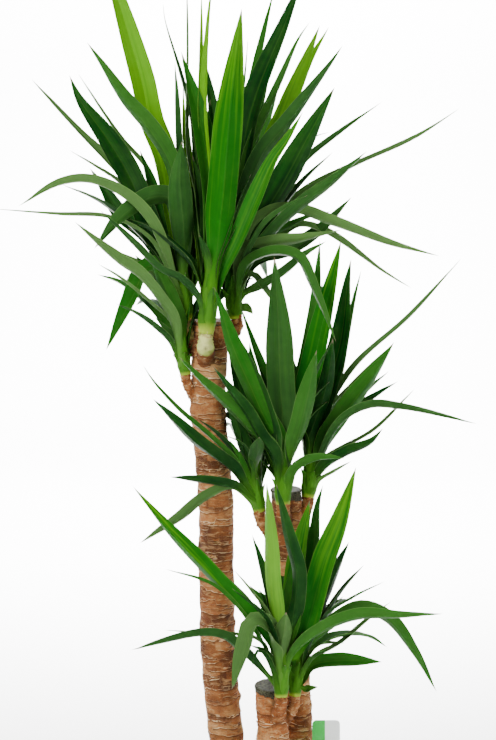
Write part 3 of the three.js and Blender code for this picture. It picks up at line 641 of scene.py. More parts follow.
class Paint:
    """A material and short calls that add nodes to it."""

    def __init__(self, name):
        self.material = bpy.data.materials.new(name)
        self.material.use_nodes = True
        self.tree = self.material.node_tree
        self.shader = self.tree.nodes["Principled BSDF"]

    def node(self, kind, inputs=None, **settings):
        node = self.tree.nodes.new(kind)
        for key, value in settings.items():
            setattr(node, key, value)
        for key, value in (inputs or {}).items():
            self.feed(node.inputs[key], value)
        return node

    def feed(self, socket, value):
        if isinstance(value, bpy.types.NodeSocket):
            self.tree.links.new(value, socket)
        else:
            socket.default_value = value

    def values(self, *names):
        return [self.node("ShaderNodeAttribute", attribute_name=name).outputs["Fac"] for name in names]

    def math(self, operation, one, two=0.0, three=0.0):
        node = self.node("ShaderNodeMath", {0: one, 1: two, 2: three}, operation=operation)
        return node.outputs[0]

    def times(self, one, two):
        return self.math("MULTIPLY", one, two)

    def plus(self, one, two):
        return self.math("ADD", one, two)

    def rest(self, share):
        """What a share leaves of one."""
        return self.math("SUBTRACT", 1.0, share)

    def step(self, value, start, end):
        """0 below start, 1 above end and smooth between them."""
        inputs = {"Value": value, "From Min": start, "From Max": end}
        node = self.node("ShaderNodeMapRange", inputs, interpolation_type="SMOOTHSTEP")
        return node.outputs["Result"]

    def fade(self, value, start, end, low, high):
        inputs = {"Value": value, "From Min": start, "From Max": end, "To Min": low, "To Max": high}
        return self.node("ShaderNodeMapRange", inputs).outputs["Result"]

    def mix(self, share, one, two):
        node = self.node("ShaderNodeMix", data_type="RGBA")
        self.feed(node.inputs["Factor"], share)
        self.feed(node.inputs[6], one)
        self.feed(node.inputs[7], two)
        return node.outputs[2]

    def between(self, value, start, end, one, two, most=1.0):
        """From one colour code towards another as a value goes from start to end."""
        return self.mix(self.fade(value, start, end, 0.0, most), rgb(one), rgb(two))

    def coats(self, colour, *layers):
        """A colour under others, each as (share, code)."""
        for share, code in layers:
            colour = self.mix(share, colour, rgb(code))
        return colour

    def ramp(self, level, stops):
        """Colours along a scale, as (place, code)."""
        node = self.node("ShaderNodeValToRGB", {"Fac": level})
        keys = node.color_ramp.elements
        for key, (spot, code) in zip((keys[0], keys[1]), (stops[0], stops[-1])):
            key.position = spot
            key.color = rgb(code)
        for spot, code in stops[1:-1]:
            keys.new(spot).color = rgb(code)
        return node.outputs["Color"]

    def vector(self, x, y, z):
        return self.node("ShaderNodeCombineXYZ", {0: x, 1: y, 2: z}).outputs[0]

    def noise(self, scale, detail=4.0, rough=0.55, vector=None, warp=0.0):
        inputs = {"Scale": scale, "Detail": detail, "Roughness": rough, "Distortion": warp}
        inputs["Vector"] = self.place() if vector is None else vector
        return self.node("ShaderNodeTexNoise", inputs).outputs["Fac"]

    def place(self):
        return self.node("ShaderNodeTexCoord").outputs["Object"]

    def stretched(self, x, y, z):
        node = self.node("ShaderNodeMapping", {"Vector": self.place(), "Scale": (x, y, z)})
        return node.outputs[0]

    def bump(self, height, strength, distance):
        inputs = {"Height": height, "Strength": strength, "Distance": distance}
        return self.node("ShaderNodeBump", inputs).outputs["Normal"]

    def finish(self, colour, roughness, normal=None, specular=0.5):
        self.feed(self.shader.inputs["Base Color"], colour)
        self.feed(self.shader.inputs["Roughness"], roughness)
        self.shader.inputs["Specular IOR Level"].default_value = specular
        if normal is not None:
            self.feed(self.shader.inputs["Normal"], normal)
        return self.material


def rgb(code):
    """A display colour such as 2f7a1a as linear red, green, blue and alpha."""
    levels = [int(code[digit:digit + 2], 16) / 255 for digit in (0, 2, 4)]
    linear = [((v + 0.055) / 1.055) ** 2.4 if v > 0.04045 else v / 12.92 for v in levels]
    return (*linear, 1.0)


def leaf_material():
    """Waxy leaf: veined lengthwise, pale at the margins, creamy at the root with painted shade in the
    creases between the clasped bases, and dry at the tip.
    """
    paint = Paint("yucca_leaf")
    tone, sage, seed, under = paint.values("tone", "sage", "seed", "under")
    across, along, reach, foot = paint.values("across", "along", "reach", "foot")
    edge = paint.math("ABSOLUTE", across)
    side = paint.plus(across, seed)
    veins = paint.noise(1.0, 3.0, 0.6, paint.vector(paint.times(side, 17.0), along, seed))
    lengthwise = paint.vector(paint.times(side, 3.2), paint.times(along, 2.0), seed)
    bands = paint.noise(1.0, 2.0, 0.5, lengthwise)
    clouds = paint.noise(22.0, 3.0, 0.55)
    level = paint.plus(tone, paint.fade(bands, 0.3, 0.7, -0.1, 0.1))
    level = paint.plus(level, paint.fade(along, 0.0, 1.0, -0.12, 0.12))
    pale = paint.math("MAXIMUM", sage, paint.times(under, 0.22))
    greyed = paint.mix(tone, rgb("1a3c1a"), rgb("67884a"))
    young = paint.rest(paint.step(reach, -10.0, 55.0))
    # Painted shade: the sides of each leaf base near the root darken, as if shaded where the clasping
    # bases lap over one another
    painted_crease_shade = paint.times(paint.step(edge, 0.5, 1.0), young)
    dry = paint.plus(along, paint.fade(clouds, 0.3, 0.7, -0.012, 0.012))
    colour = paint.coats(
        paint.mix(pale, paint.ramp(level, LEAF_GREENS), greyed),
        (paint.fade(veins, 0.35, 0.65, 0.0, 0.11), "031703"),
        (paint.fade(clouds, 0.4, 0.75, 0.0, 0.1), "4f7a30"),
        (paint.times(paint.rest(paint.step(edge, 0.0, 0.09)), 0.03), "8fb85a"),
        (paint.times(paint.step(edge, 0.955, 1.0), 0.16), "8fae66"),
        (paint.times(young, 0.55), "467a14"),
        # painted shade in the creases between the clasped leaf bases
        (paint.times(painted_crease_shade, 0.6), "123a05"),
        (paint.times(paint.rest(paint.step(foot, 0.0, 1.0)), 0.75), "a4b83c"),
        (paint.times(paint.step(dry, 0.96, 0.99), 0.8), "6d6351"),
    )
    gloss = paint.math("MULTIPLY_ADD", pale, 0.5, veins)
    normal = paint.bump(veins, 0.25, 0.0006)
    paint.shader.inputs["IOR"].default_value = 1.35
    return paint.finish(colour, paint.fade(gloss, 0.3, 1.1, 0.5, 0.66), normal, 0.07)


def bark_material():
    """Bark in brown plates between torn cream scars, with a painted shadow under each scar and painted
    shade round the shoots, grey wax at the cut top, cream fresh stubs.
    """
    paint = Paint("yucca_bark")
    gap, plate, stub, dip, scorch, ruddy = paint.values("gap", "plate", "stub", "dip", "scorch", "ruddy")
    fibres = paint.noise(1.0, 5.0, 0.65, paint.stretched(420.0, 420.0, 90.0))
    cracks = paint.noise(1.0, 4.0, 0.65, paint.stretched(70.0, 70.0, 420.0), 0.8)
    flakes = paint.noise(1.0, 4.0, 0.6, paint.stretched(60.0, 60.0, 150.0), 0.6)
    patches = paint.noise(1.0, 3.0, 0.6, paint.stretched(24.0, 24.0, 22.0))
    torn = paint.noise(1.0, 3.0, 0.65, paint.stretched(90.0, 90.0, 60.0))
    blotches = paint.noise(9.0, 2.0, 0.5)
    fine = paint.noise(800.0, 3.0, 0.7)
    level = paint.plus(plate, paint.fade(patches, 0.3, 0.7, -0.3, 0.3))
    wide = paint.fade(torn, 0.36, 0.66, -0.05, 0.95)
    away = paint.math("SUBTRACT", paint.math("ABSOLUTE", gap), wide)
    line = paint.rest(paint.step(away, -0.35, 0.25))
    line = paint.times(line, paint.fade(patches, 0.35, 0.65, 0.15, 0.85))
    # Painted shadow: a dark band just below each scar line, where the scar's raised ledge would shade the
    # bark
    painted_scar_shadow = paint.times(paint.step(gap, -4.5, -0.8), paint.step(gap, 0.0, -0.8))
    colour = paint.coats(
        paint.ramp(level, ((0.0, "4d2810"), (0.3, "75441f"), (0.6, "935f34"), (1.0, "b48a58"))),
        (paint.fade(blotches, 0.5, 0.68, 0.0, 0.5), "7c4420"),
        (paint.times(paint.fade(fibres, 0.35, 0.65, 0.0, 0.8), ruddy), "8c4814"),
        (paint.times(paint.fade(fibres, 0.5, 0.3, 0.0, 0.7), ruddy), "4d2408"),
        (paint.fade(flakes, 0.52, 0.72, 0.0, 0.6), "c29a68"),
        (paint.fade(flakes, 0.44, 0.28, 0.0, 0.6), "4a2818"),
        (paint.fade(cracks, 0.6, 0.7, 0.0, 0.7), "3a1d10"),
        (paint.fade(cracks, 0.36, 0.26, 0.0, 0.5), "bf9a68"),
        (paint.fade(fine, 0.55, 0.8, 0.0, 0.3), "dcc092"),
        # painted shadow under each scar
        (paint.times(painted_scar_shadow, 0.7), "3f200c"),
        (line, "dcc195"),
    )
    colour = paint.mix(stub, colour, paint.between(patches, 0.4, 0.65, "cdd182", "93ad42"))
    # Painted shade round the shoots darkens the bark here, together with the real leaf-scar dot on fresh
    # stubs
    darkening = paint.times(scorch, paint.fade(flakes, 0.3, 0.7, 0.65, 1.0))
    colour = paint.coats(colour, (darkening, "24140b"))
    dipped = paint.plus(paint.fade(flakes, 0.3, 0.7, -3.5, 3.5), dip)
    dipped = paint.plus(paint.fade(patches, 0.3, 0.7, -5.0, 5.0), dipped)
    wax = paint.between(fine, 0.4, 0.7, "1c1a12", "55523c")
    colour = paint.mix(paint.step(dipped, 0.0, 1.0), colour, wax)
    height = paint.math("MULTIPLY_ADD", flakes, 1.0, paint.times(fibres, 0.6))
    height = paint.math("MULTIPLY_ADD", cracks, -0.8, height)
    return paint.finish(colour, 0.85, paint.bump(height, 0.9, 0.0016), 0.2)


def wax_material():
    """Dull grey sealing wax, speckled and pitted, which browns with age."""
    paint = Paint("sealing_wax")
    aged, = paint.values("aged")
    specks = paint.noise(260.0, 4.0, 0.7)
    lumps = paint.noise(70.0, 3.0, 0.5)
    colour = paint.between(specks, 0.35, 0.7, "15150e", "56553f")
    colour = paint.coats(colour, (paint.fade(lumps, 0.4, 0.7, 0.0, 0.5), "10100b"))
    colour = paint.mix(aged, colour, paint.between(specks, 0.35, 0.7, "5a3a20", "8f6a42"))
    height = paint.math("MULTIPLY_ADD", lumps, 1.0, paint.times(specks, 0.4))
    normal = paint.bump(height, 0.8, 0.0016)
    return paint.finish(colour, paint.fade(specks, 0.3, 0.7, 0.65, 0.85), normal, 0.15)


def pot_material():
    """Moulded nursery pot plastic with a fine grain and dusty patches."""
    paint = Paint("pot_plastic")
    grain = paint.noise(900.0, 3.0, 0.6)
    dust = paint.noise(34.0, 5.0, 0.6)
    colour = paint.between(dust, 0.5, 0.8, "2b2d2f", "5b574f", 0.35)
    normal = paint.bump(grain, 0.25, 0.0003)
    return paint.finish(colour, paint.fade(dust, 0.35, 0.7, 0.42, 0.62), normal, 0.5)


def soil_material():
    """Potting soil, bark chips and pale grains: each lump has its own tone."""
    paint = Paint("potting_soil")
    tone, = paint.values("tone")
    crumbs = paint.noise(520.0, 5.0, 0.75)
    damp = paint.noise(38.0, 3.0, 0.5)
    colour = paint.coats(
        paint.ramp(tone, ((0.0, "241810"), (0.35, "3a2618"), (0.7, "6b452b"), (0.95, "dcd6c8"))),
        (paint.fade(crumbs, 0.4, 0.7, 0.0, 0.6), "170f0a"),
        (paint.fade(damp, 0.45, 0.7, 0.0, 0.4), "1d130c"),
    )
    return paint.finish(colour, 0.95, paint.bump(crumbs, 0.8, 0.0015), 0.2)


def label_material():
    """Thin label plastic: a green band beside plain off-white."""
    paint = Paint("label_plastic")
    band, = paint.values("band")
    grain = paint.noise(300.0, 2.0, 0.5)
    split = paint.step(band, LABEL_BAND - 0.01, LABEL_BAND + 0.01)
    colour = paint.mix(split, rgb("1fa436"), rgb("dfe3df"))
    colour = paint.coats(colour, (paint.fade(grain, 0.4, 0.7, 0.0, 0.05), "9aa39a"))
    normal = paint.bump(grain, 0.05, 0.0002)
    return paint.finish(colour, paint.fade(grain, 0.3, 0.7, 0.3, 0.36), normal, 0.5)


def floor_material():
    """Plain pale studio floor with a trace of unevenness."""
    paint = Paint("studio_floor")
    haze = paint.noise(0.8, 2.0, 0.5)
    colour = paint.between(haze, 0.3, 0.7, "fafafa", "f6f6f6")
    return paint.finish(colour, 0.9, None, 0.1)


# Canes

def cane_route(cane):
    spots = [sight(across, up, cane["depth"]) for across, up in cane["line"]][::-1]
    spots[0][2] = SOIL_TOP
    return Route(spots)


def waviness(turn, height, draws, size, tall):
    """Lumps round and up a cane, as a sum of waves."""
    total = np.zeros(np.broadcast(turn, height).shape)
    for waves_round, waves_up, phase, lean in draws:
        total = total + np.sin(waves_round * turn + waves_up * height / tall + phase) * lean
    return size * total


def wave_draws(counts, climbs, rng):
    """For each wave round a cane: its count, how fast it climbs, its phase and its strength."""
    return [(count, rng.uniform(*climbs), rng.uniform(0, 6), rng.uniform(0.3, 1.0)) for count in counts]


def leaf_scars(turn, level, length, rng):
    """Crescent scars: how far above or below a line the bark is, the tone of its plate, its relief."""
    shape = np.broadcast(turn, level).shape
    gaps = np.full(shape, NO_SCAR)
    plates = np.full(shape, 0.45)
    relief = np.zeros(shape)
    height = 6.0
    heading = rng.uniform(0, 6)
    while height < length - 10:
        span = SCAR_SPAN * rng.uniform(*SCAR_STRETCH)
        off = wrapped(turn - heading)
        near = np.clip(np.abs(off) / span, 0, 2)
        waves = sum(
            rng.uniform(0.2, 0.7) * np.sin(count * turn + rng.uniform(0, 6)) for count in SCAR_WAVES
        )
        sag = rng.uniform(*SCAR_SAG) * near ** 2 + rng.normal(0, 1.6) * off + waves
        gap = level - height - sag
        worn = gap + np.sign(gap) * 3.0 * smooth(near, 0.55, 1.0) + 40 * (near > 1)
        gaps = np.where(np.abs(worn) < np.abs(gaps), worn, gaps)
        held = (gap > 0) & (near < 1)
        plates = np.where(held, rng.uniform(*PLATE_TONES), plates)
        fade = 1 - smooth(near, 0.6, 1.0)
        raised = rng.uniform(*SCAR_RELIEF) * np.exp(-np.clip(gap, 0, None) / SCAR_REACH)
        relief += raised * (gap > 0) * fade
        relief -= GROOVE_DEPTH * np.exp(-(gap / SCAR_GROOVE) ** 2) * fade
        height += SCAR_SPACING * rng.uniform(0.5, 1.5)
        heading += GOLDEN_TURN * rng.uniform(0.8, 1.2)
    return gaps, plates, relief


def cane_skin(skin, cane, shoots, rng):
    """The bark: crescent leaf scars, a few knots, painted shade round the shoots and a tilted top."""
    route = cane_route(cane)
    rows = int((route.length + ROOTED_DEPTH) / BARK_STEP)
    levels = np.linspace(-ROOTED_DEPTH, route.length, rows + 1)
    centres = route.at(np.clip(levels, 0, None) / route.length)
    centres[:, 2] = np.where(levels < 0, SOIL_TOP + levels, centres[:, 2])
    turn = rounds(BARK_SIDES)[None, :]
    level = levels[:, None]
    gaps, plates, relief = leaf_scars(turn, level, route.length, rng)
    slow = wave_draws(SLOW_WAVES, (2, 40), rng)
    relief += waviness(turn, level, slow, SLOW_LUMPS, route.length / 3)
    quick = wave_draws(QUICK_WAVES, (60, 400), rng)
    relief += waviness(turn, level, quick, BARK_GRAIN, route.length / 3)
    relief += rng.normal(0, BARK_GRAIN, relief.shape)
    for height, heading, size in cane["knots"]:
        off = wrapped(turn - math.radians(heading))
        spread = (off * cane["radius"] / KNOT_WIDTH) ** 2 + ((level - height) / KNOT_HEIGHT) ** 2
        relief += size * np.exp(-spread ** 1.4)
    relief *= smooth(level, -30, 0) * 0.8 + 0.2
    relief *= 1 - smooth(level, route.length - 12, route.length - 3)
    radius = cane["radius"] + relief
    slope = smooth(level, route.length - 30, route.length) * cane["tilt"]
    x = centres[:, 0:1] + radius * np.cos(turn)
    y = centres[:, 1:2] + radius * np.sin(turn)
    z = centres[:, 2:3] + radius * np.sin(turn) * slope
    grid = np.stack([x, y, z], axis=2)
    # Painted shade: the bark darkens within a few millimetres of each shoot, as if shaded where the shoot
    # leaves the cane
    scorch = np.zeros(gaps.shape)
    for start, end, girth in shoots:
        line = end - start
        share = np.clip(((grid - start) @ line) / (line @ line), 0, 1)
        away = np.linalg.norm(grid - start - share[:, :, None] * line, axis=2) - girth
        scorch = np.maximum(scorch, PAINTED_SHADE_SHARE * (1 - smooth(away, 1.0, 6.0)))
    dip = np.broadcast_to(level - route.length + cane["dip"], gaps.shape)
    plates = plates + 0.1 * np.sin(turn + rng.uniform(0, 6))
    skin.grid(grid, gap=gaps, plate=plates, dip=dip, scorch=scorch, ruddy=cane["ruddy"])
    return grid


def thin_scale(skin, front, inward, flipped, **values):
    """A thin scale from its outer face: three rows of four points, closed behind and at the rim."""
    front = np.array(front)
    ring = [0, 1, 2, 3, 7, 11, 10, 9, 8, 4]
    faces = [[k, k + 1, k + 5, k + 4] for k in (0, 1, 2, 4, 5, 6)]
    faces += [[k + 16, k + 17, k + 13, k + 12] for k in (0, 1, 2, 4, 5, 6)]
    faces += [[a + 12, b + 12, b, a] for a, b in zip(ring, ring[1:] + ring[:1])]
    if flipped:
        faces = [face[::-1] for face in faces]
    skin.add(np.concatenate([front, front + inward * SCALE_THICKNESS]), faces, **values)


def flakes(skin, grid, ruddy, rng):
    """Thin scales of old bark that stand a little off a cane, curled away at one edge."""
    rows, sides = grid.shape[:2]
    for _ in range(FLAKE_COUNT):
        row = rng.integers(int(rows * 0.12), rows - 8)
        side = rng.integers(0, sides)
        point = grid[row, side]
        out = unit(point - grid[row].mean(axis=0))
        round_way = unit(np.cross([0, 0, 1], out))
        wide = rng.uniform(*FLAKE_WIDTHS)
        tall = rng.uniform(*FLAKE_HEIGHTS) * rng.choice([-1, 1])
        lift = rng.uniform(*FLAKE_LIFTS)
        front = []
        for up, off in ((0, -0.5), (0.5, 0.2 * lift), (1, lift)):
            for part in SCALE_PARTS:
                jag = rng.uniform(-0.3, 0.3) * abs(tall) * (up > 0)
                sunk = 0.06 * (part * wide) ** 2 / 4
                front.append(point + round_way * part * wide * (1 - 0.3 * up) + out * (off - sunk)
                             + np.array([0, 0, up * tall + jag]))
        tone = rng.uniform(0.3, 1.0)
        thin_scale(skin, front, -out, tall < 0, gap=NO_SCAR, plate=tone, dip=NO_WAX, ruddy=ruddy)


def collar(skin, head, stub, rng):
    """Torn scales of old leaf bases that stand round the foot of a green stem."""
    base, _, rise = stem_ends(head)
    girth = head["radius"]
    for scale in range(COLLAR_SCALES):
        middle = scale * GOLDEN_TURN + rng.uniform(-0.3, 0.3)
        wide = rng.uniform(*COLLAR_WIDTHS)
        tall = rng.uniform(*COLLAR_HEIGHTS)
        low = rng.uniform(*COLLAR_STARTS)
        flare = rng.uniform(*COLLAR_FLARES)
        front = []
        for up, off in ((0, -1.2), (0.5, 0.5 * flare), (1, flare)):
            for part in SCALE_PARTS:
                turn = middle + part * wide * (1 - 0.35 * up)
                out = round_stem(rise, turn)
                jag = rng.uniform(-0.25, 0.25) * tall * (up > 0)
                front.append(base + rise * (low + up * tall + jag) + out * (girth + off))
        inward = -round_stem(rise, middle)
        tone = rng.uniform(0.2, 1.0)
        fresh = stub * rng.uniform(0.3, 1.0)
        values = {"gap": NO_SCAR, "plate": tone, "dip": NO_WAX, "stub": fresh, "ruddy": SHOOT_RED}
        thin_scale(skin, front, inward, False, **values)


def round_rod(points, radii, sides, bend=0.0):
    """Rings round a line through points, with a radius at each."""
    rows = []
    for spot, point in enumerate(points):
        before = points[max(spot - 1, 0)]
        after = points[min(spot + 1, len(points) - 1)]
        direction = unit(after - before)
        across = unit(np.cross([0, 1, 0], direction))
        along = np.cross(direction, across)
        turns = rounds(sides)
        ring = np.cos(turns)[:, None] * across + np.sin(turns)[:, None] * along
        wave = 1 + bend * np.sin(3 * turns + spot)[:, None]
        rows.append(point + ring * wave * radii[spot])
    return np.stack(rows)


def stem_ends(head):
    base = sight(*head["base"])
    heart = sight(*head["heart"])
    return base, heart, unit(heart - base)


def stem_point(head, share):
    base, heart, _ = stem_ends(head)
    return base + (heart - base) * share


def round_stem(rise, turn):
    """The way out from a stem that rises a given way, at a turn round it."""
    level = unit(np.cross(rise, [0, 1, 0]))
    facing = np.cross(level, rise)
    return level * math.cos(turn) + facing * math.sin(turn)


def shoot_skin(skin, head, stub, rng):
    """The woody shoot that carries a leafy head, with a torn rim under the green stem."""
    base, _, rise = stem_ends(head)
    route = Route([sight(*head["shoot"]), base - rise * SHOOT_STRETCH, base - rise * FIT_GAP])
    shares = np.linspace(0, 1, SHOOT_ROWS)
    spots = np.interp(shares, (0, 0.7, 1), SHOOT_GIRTHS) * head["radius"]
    rings = 1 + 0.07 * np.sin(shares * route.length * 0.9) + rng.normal(0, 0.03, shares.shape)
    rim = 1 + 0.12 * np.exp(-((shares - 0.93) / 0.05) ** 2)
    grid = round_rod(route.at(shares), spots * rings * rim, SHOOT_SIDES, 0.05)
    grid = grid + rng.normal(0, 0.3, grid.shape)
    left = (1 - shares)[:, None] * route.length
    stub = stub * (1 - smooth(left, STUB_LENGTH, STUB_LENGTH + 5)) * np.ones(SHOOT_SIDES)
    turns = rounds(SHOOT_SIDES)[None, :]
    gaps = np.abs(((left + 1.5 * np.sin(2 * turns + rng.uniform(0, 6))) % 6.0) - 3.0)
    # Painted shade darkens the shoot near the cane; the dark dot on a fresh stub is its real leaf scar
    darkening = 0.5 * (1 - smooth(shares * route.length, 20, 34))
    scar = (wrapped(turns + math.pi / 2) * head["radius"]) ** 2 + (left - SCAR_DOT) ** 2
    spot = 0.7 * np.exp(-((scar / 6.0) ** 2)) * (stub > 0.5)
    scorch = np.maximum(np.broadcast_to(darkening[:, None], gaps.shape), spot)
    plates = 0.25 + 0.2 * np.sin(3 * turns + left / 3)
    skin.grid(grid, gap=gaps, plate=plates, dip=NO_WAX, stub=stub, scorch=scorch, ruddy=SHOOT_RED)


def make_canes():
    material = bark_material()
    for order, (name, cane) in enumerate(CANES.items()):
        rng = np.random.default_rng(BARK_SEED + order)
        skin = Skin(("gap", "plate", "dip", "stub", "scorch", "ruddy"))
        borne = {leafy: head for leafy, head in HEADS.items() if head["cane"] == name}
        shoots = [(sight(*head["shoot"]), sight(*head["base"]), head["radius"]) for head in borne.values()]
        grid = cane_skin(skin, cane, shoots, rng)
        flakes(skin, grid, cane["ruddy"], rng)
        for leafy, head in borne.items():
            shoot_skin(skin, head, STUBS.get(leafy, 0.0), rng)
            collar(skin, head, STUBS.get(leafy, 0.0), rng)
        place(skin.build(f"bark_{name}", material, 60), "bark", f"cane_{name}")


def make_wax():
    material = wax_material()
    for order, (name, cane) in enumerate(CANES.items()):
        rng = np.random.default_rng(WAX_SEED + order)
        top = cane_route(cane).at([1])[0]
        turns = rounds(BARK_SIDES)
        edge = cane["radius"]
        levels = [
            (edge + 0.4, FIT_GAP), (edge + 1.1, 1.2), (edge + 1.2, 2.4), (edge + 0.2, 3.6),
            (edge - 2.0, 4.3), (edge * 0.8, 4.1), (edge * 0.6, 3.9), (edge * 0.4, 4.2),
            (edge * 0.2, 4.0), (edge * 0.04, 4.1),
        ]
        drips = [(waves, 0, rng.uniform(0, 6), rng.uniform(0.4, 1.0)) for waves in WAX_WAVES]
        rows = []
        for radius, lift in levels:
            spread = radius + waviness(turns, 0.0, drips, WAX_LUMPS, 1.0) * radius / edge
            rough = rng.normal(0, 0.1, len(turns)) * (lift > 1)
            x = top[0] + spread * np.cos(turns)
            y = top[1] + spread * np.sin(turns)
            z = top[2] + lift + rough + spread * np.sin(turns) * cane["tilt"]
            rows.append(np.stack([x, y, z], axis=1))
        skin = Skin(("aged",))
        skin.grid(np.stack(rows), aged=cane["aged"])
        place(skin.build(f"seal_{name}", material, 50), "wax", f"wax_{name}")


# Leaves

def blade_width(shares):
    neck = smooth(shares, 0, FULL_FROM)
    past = np.clip((shares - FULL_TO) / (1 - FULL_TO), 0, 1)
    return (NECK_WIDTH + (1 - NECK_WIDTH) * neck) * (1 - past ** POINT_POWER)


def blade_sides(route, shares, heading, faces, held, inward, rng):
    """Which way the upper side faces along a blade: round the stem at first, then as laid out."""
    along = route.along(shares)
    reach = shares * route.length
    hinge = np.cross([0, 0, 1], heading)
    turns = np.radians(faces[0] + (faces[1] - faces[0]) * shares)
    turns = turns + SWAY * np.sin(shares * rng.uniform(4, 9) + rng.uniform(0, 6)) * shares
    grip = int(np.searchsorted(reach, held))
    twist = min(TWIST_LENGTH, TWIST_SHARE * (route.length - held))
    upright = along[grip:len(along) // 2 + grip, 2].mean() > UPRIGHT_FROM
    best = None
    for seen in (1, -1) if upright else (1,):
        viewer = np.array([0, -seen, 0])
        upper = unit(np.cross(along, hinge)) * np.cos(turns)[:, None] + viewer * np.sin(turns)[:, None]
        upper = unit(upper - along * np.sum(upper * along, axis=1, keepdims=True))
        third = np.cross(along, upper)
        angle = np.arctan2(third @ inward, upper @ inward)
        if best is None or abs(angle[grip]) < abs(best[2][grip]) - FLIP_GAIN:
            best = (upper, third, angle, seen)
    upper, third, angle, seen = best
    angle = np.where(reach > held, angle[grip] * (1 - smooth(reach, held, held + twist)), angle)
    return along, upper * np.cos(angle)[:, None] + third * np.sin(angle)[:, None], seen


def blade_rings(route, shares, along, upper, width, letter, held, grip, rng):
    """The points round a blade at each share of its length: the upper face, then the lower one."""
    reach = shares * route.length
    side = np.cross(upper, along)
    free = np.clip((reach - held) / (route.length - held), 0, 1)
    clasp = 1 - smooth(reach, held * CLASP_FROM, held + CLASP_FADE)
    half = WIDTH_GAIN * width * blade_width(free) / 2
    half = half + (CLASP_CURL * grip - half) * clasp
    near_root = 1 - smooth(reach, held, held + ROOT_CURL_LENGTH)
    curl = BLADE_CURL + ROOT_CURL * near_root + TIP_CURL * smooth(shares, TIP_FROM, 1.0)
    curl = curl + (CLASP_CURL - curl) * clasp
    thick = THICK_ROOT + (THICK_TIP - THICK_ROOT) * shares ** THIN_POWER
    thick = thick * (THIN_FOOT + (1 - THIN_FOOT) * smooth(reach, 0, THIN_FOOT_LENGTH))
    across = np.array(BLADE_ACROSS)
    bend = curl[:, None] * across
    wide = half[:, None] * np.sin(bend) / curl[:, None]
    rise = half[:, None] * (1 - np.cos(bend)) / curl[:, None]
    body = smooth(free, *BODY_STARTS) * (1 - smooth(free, *BODY_ENDS))
    rise = rise + FOLD * rng.uniform(*FOLD_RANGE) * (half * body)[:, None] * np.abs(across)
    pleat = PLEATS[letter] * width * np.cos(3 * np.pi * across) * body[:, None]
    phase = rng.uniform(0, 6, 2)
    ripple = np.sin(reach / rng.uniform(*WAVE_LENGTHS) + phase[0])[:, None]
    other = np.sin(reach / rng.uniform(*WAVE_LENGTHS) + phase[1])[:, None]
    margin = np.where(across > 0, ripple, other) * across ** 2
    rise = rise + pleat + WAVES[letter] * half[:, None] * margin * body[:, None]
    layer = thick[:, None] * (1 - THIN_EDGE * across ** 2) / 2
    middle = route.at(shares)[:, None, :] + side[:, None, :] * wide[:, :, None]
    top = middle + upper[:, None, :] * (rise + layer)[:, :, None]
    low = middle + upper[:, None, :] * (rise - layer)[:, :, None]
    return np.concatenate([top[:, ::-1], low], axis=1)


def blade(skin, route, heading, width, faces, letter, rng, held, grip, inward, foot, cream):
    """One sword leaf: a channel that clasps the stem at its root and narrows to a dry point."""
    rows = int(np.clip(route.length / BLADE_STEP, *BLADE_ROWS))
    shares = np.linspace(0, 1, rows + 1)[:-1]
    reach = shares * route.length
    along, upper, seen = blade_sides(route, shares, heading, faces, held, inward, rng)
    rings = blade_rings(route, shares, along, upper, width, letter, held, grip, rng)
    tone, sage = TONES[letter]
    tone = np.clip(tone + rng.uniform(-TONE_SPREAD, TONE_SPREAD), 0, 1)
    sage = np.clip(sage + rng.uniform(-TONE_SPREAD, TONE_SPREAD), 0, 1)
    seed = rng.uniform(0, 50)
    paled = (foot + reach) / cream + PAST_CREAM * smooth(reach, held, held + CREAM_FADE)
    across = np.array(BLADE_ACROSS)
    faced = (np.zeros(len(across)), np.ones(len(across)))[::seen]
    row_values = {
        "along": (shares, 1.0),
        "reach": (reach - held, route.length - held),
        "foot": (paled, PAST_CREAM),
    }
    ring_values = {
        "across": (np.concatenate([across[::-1], across]), 0.0),
        "under": (np.concatenate(faced), 0.5),
    }
    values = {"tone": tone, "sage": sage, "seed": seed}
    for name, (by_row, at_tip) in row_values.items():
        values[name] = np.append(np.repeat(by_row, 2 * len(across)), at_tip)
    for name, (by_point, at_tip) in ring_values.items():
        values[name] = np.append(np.tile(by_point, len(shares)), at_tip)
    skin.grid(rings, tip=route.at([1])[0], **values)


def seen_spots(root, points, back):
    """A leaf laid out as seen from the front: its depth grows with its length."""
    flat = [root] + [sight(across, up, root[1]) for across, up in points]
    steps = [np.linalg.norm(b - a) for a, b in zip(flat, flat[1:])]
    reach = np.cumsum(steps) / sum(steps)
    return [sight(across, up, root[1] + back * share) for (across, up), share in zip(points, reach)]


def hidden_spots(root, outward, rise, length, droop):
    """A leaf laid out by its rise from the level and by how far it droops towards its tip."""
    spots = [root]
    for piece in range(DROOP_PIECES):
        share = (piece + 0.5) / DROOP_PIECES
        lean = math.radians(rise - droop * share ** DROOP_POWER)
        step = outward * math.cos(lean) + np.array([0, 0, math.sin(lean)])
        spots.append(spots[-1] + step * length / DROOP_PIECES)
    return spots[1:]


def grow_leaf(skin, head, share, spots, heading, width, faces, letter, turn, rng):
    """A leaf whose base clasps the stem below its root before it bends away to its spots."""
    base, heart, rise = stem_ends(head)
    height = np.linalg.norm(heart - base)
    away = spots[0] - stem_point(head, share)
    away = away - rise * (away @ rise) + CLASP_LEAN * round_stem(rise, turn)
    away = unit(away)
    foot = max(share - CLASP_SHARE, 0.0)
    layer = CLASP_LAYER * (1 - share)
    clasped = []
    for step in (0.0, 0.5, 1.0):
        level_here = foot + (share - foot) * step
        off = stem_girth(head, level_here) + layer + CLASP_STEP * step
        clasped.append(stem_point(head, level_here) + away * off)
    route = Route([*clasped, *spots])
    held = (share - foot) * height
    grip = stem_girth(head, foot) + layer
    blade(skin, route, heading, width, faces, letter, rng, held, grip, -away, foot * height, head["cream"])


def stem_girth(head, share):
    spots, girths = zip(*STEM_GIRTHS)
    return head["radius"] * np.interp(share, spots, girths)


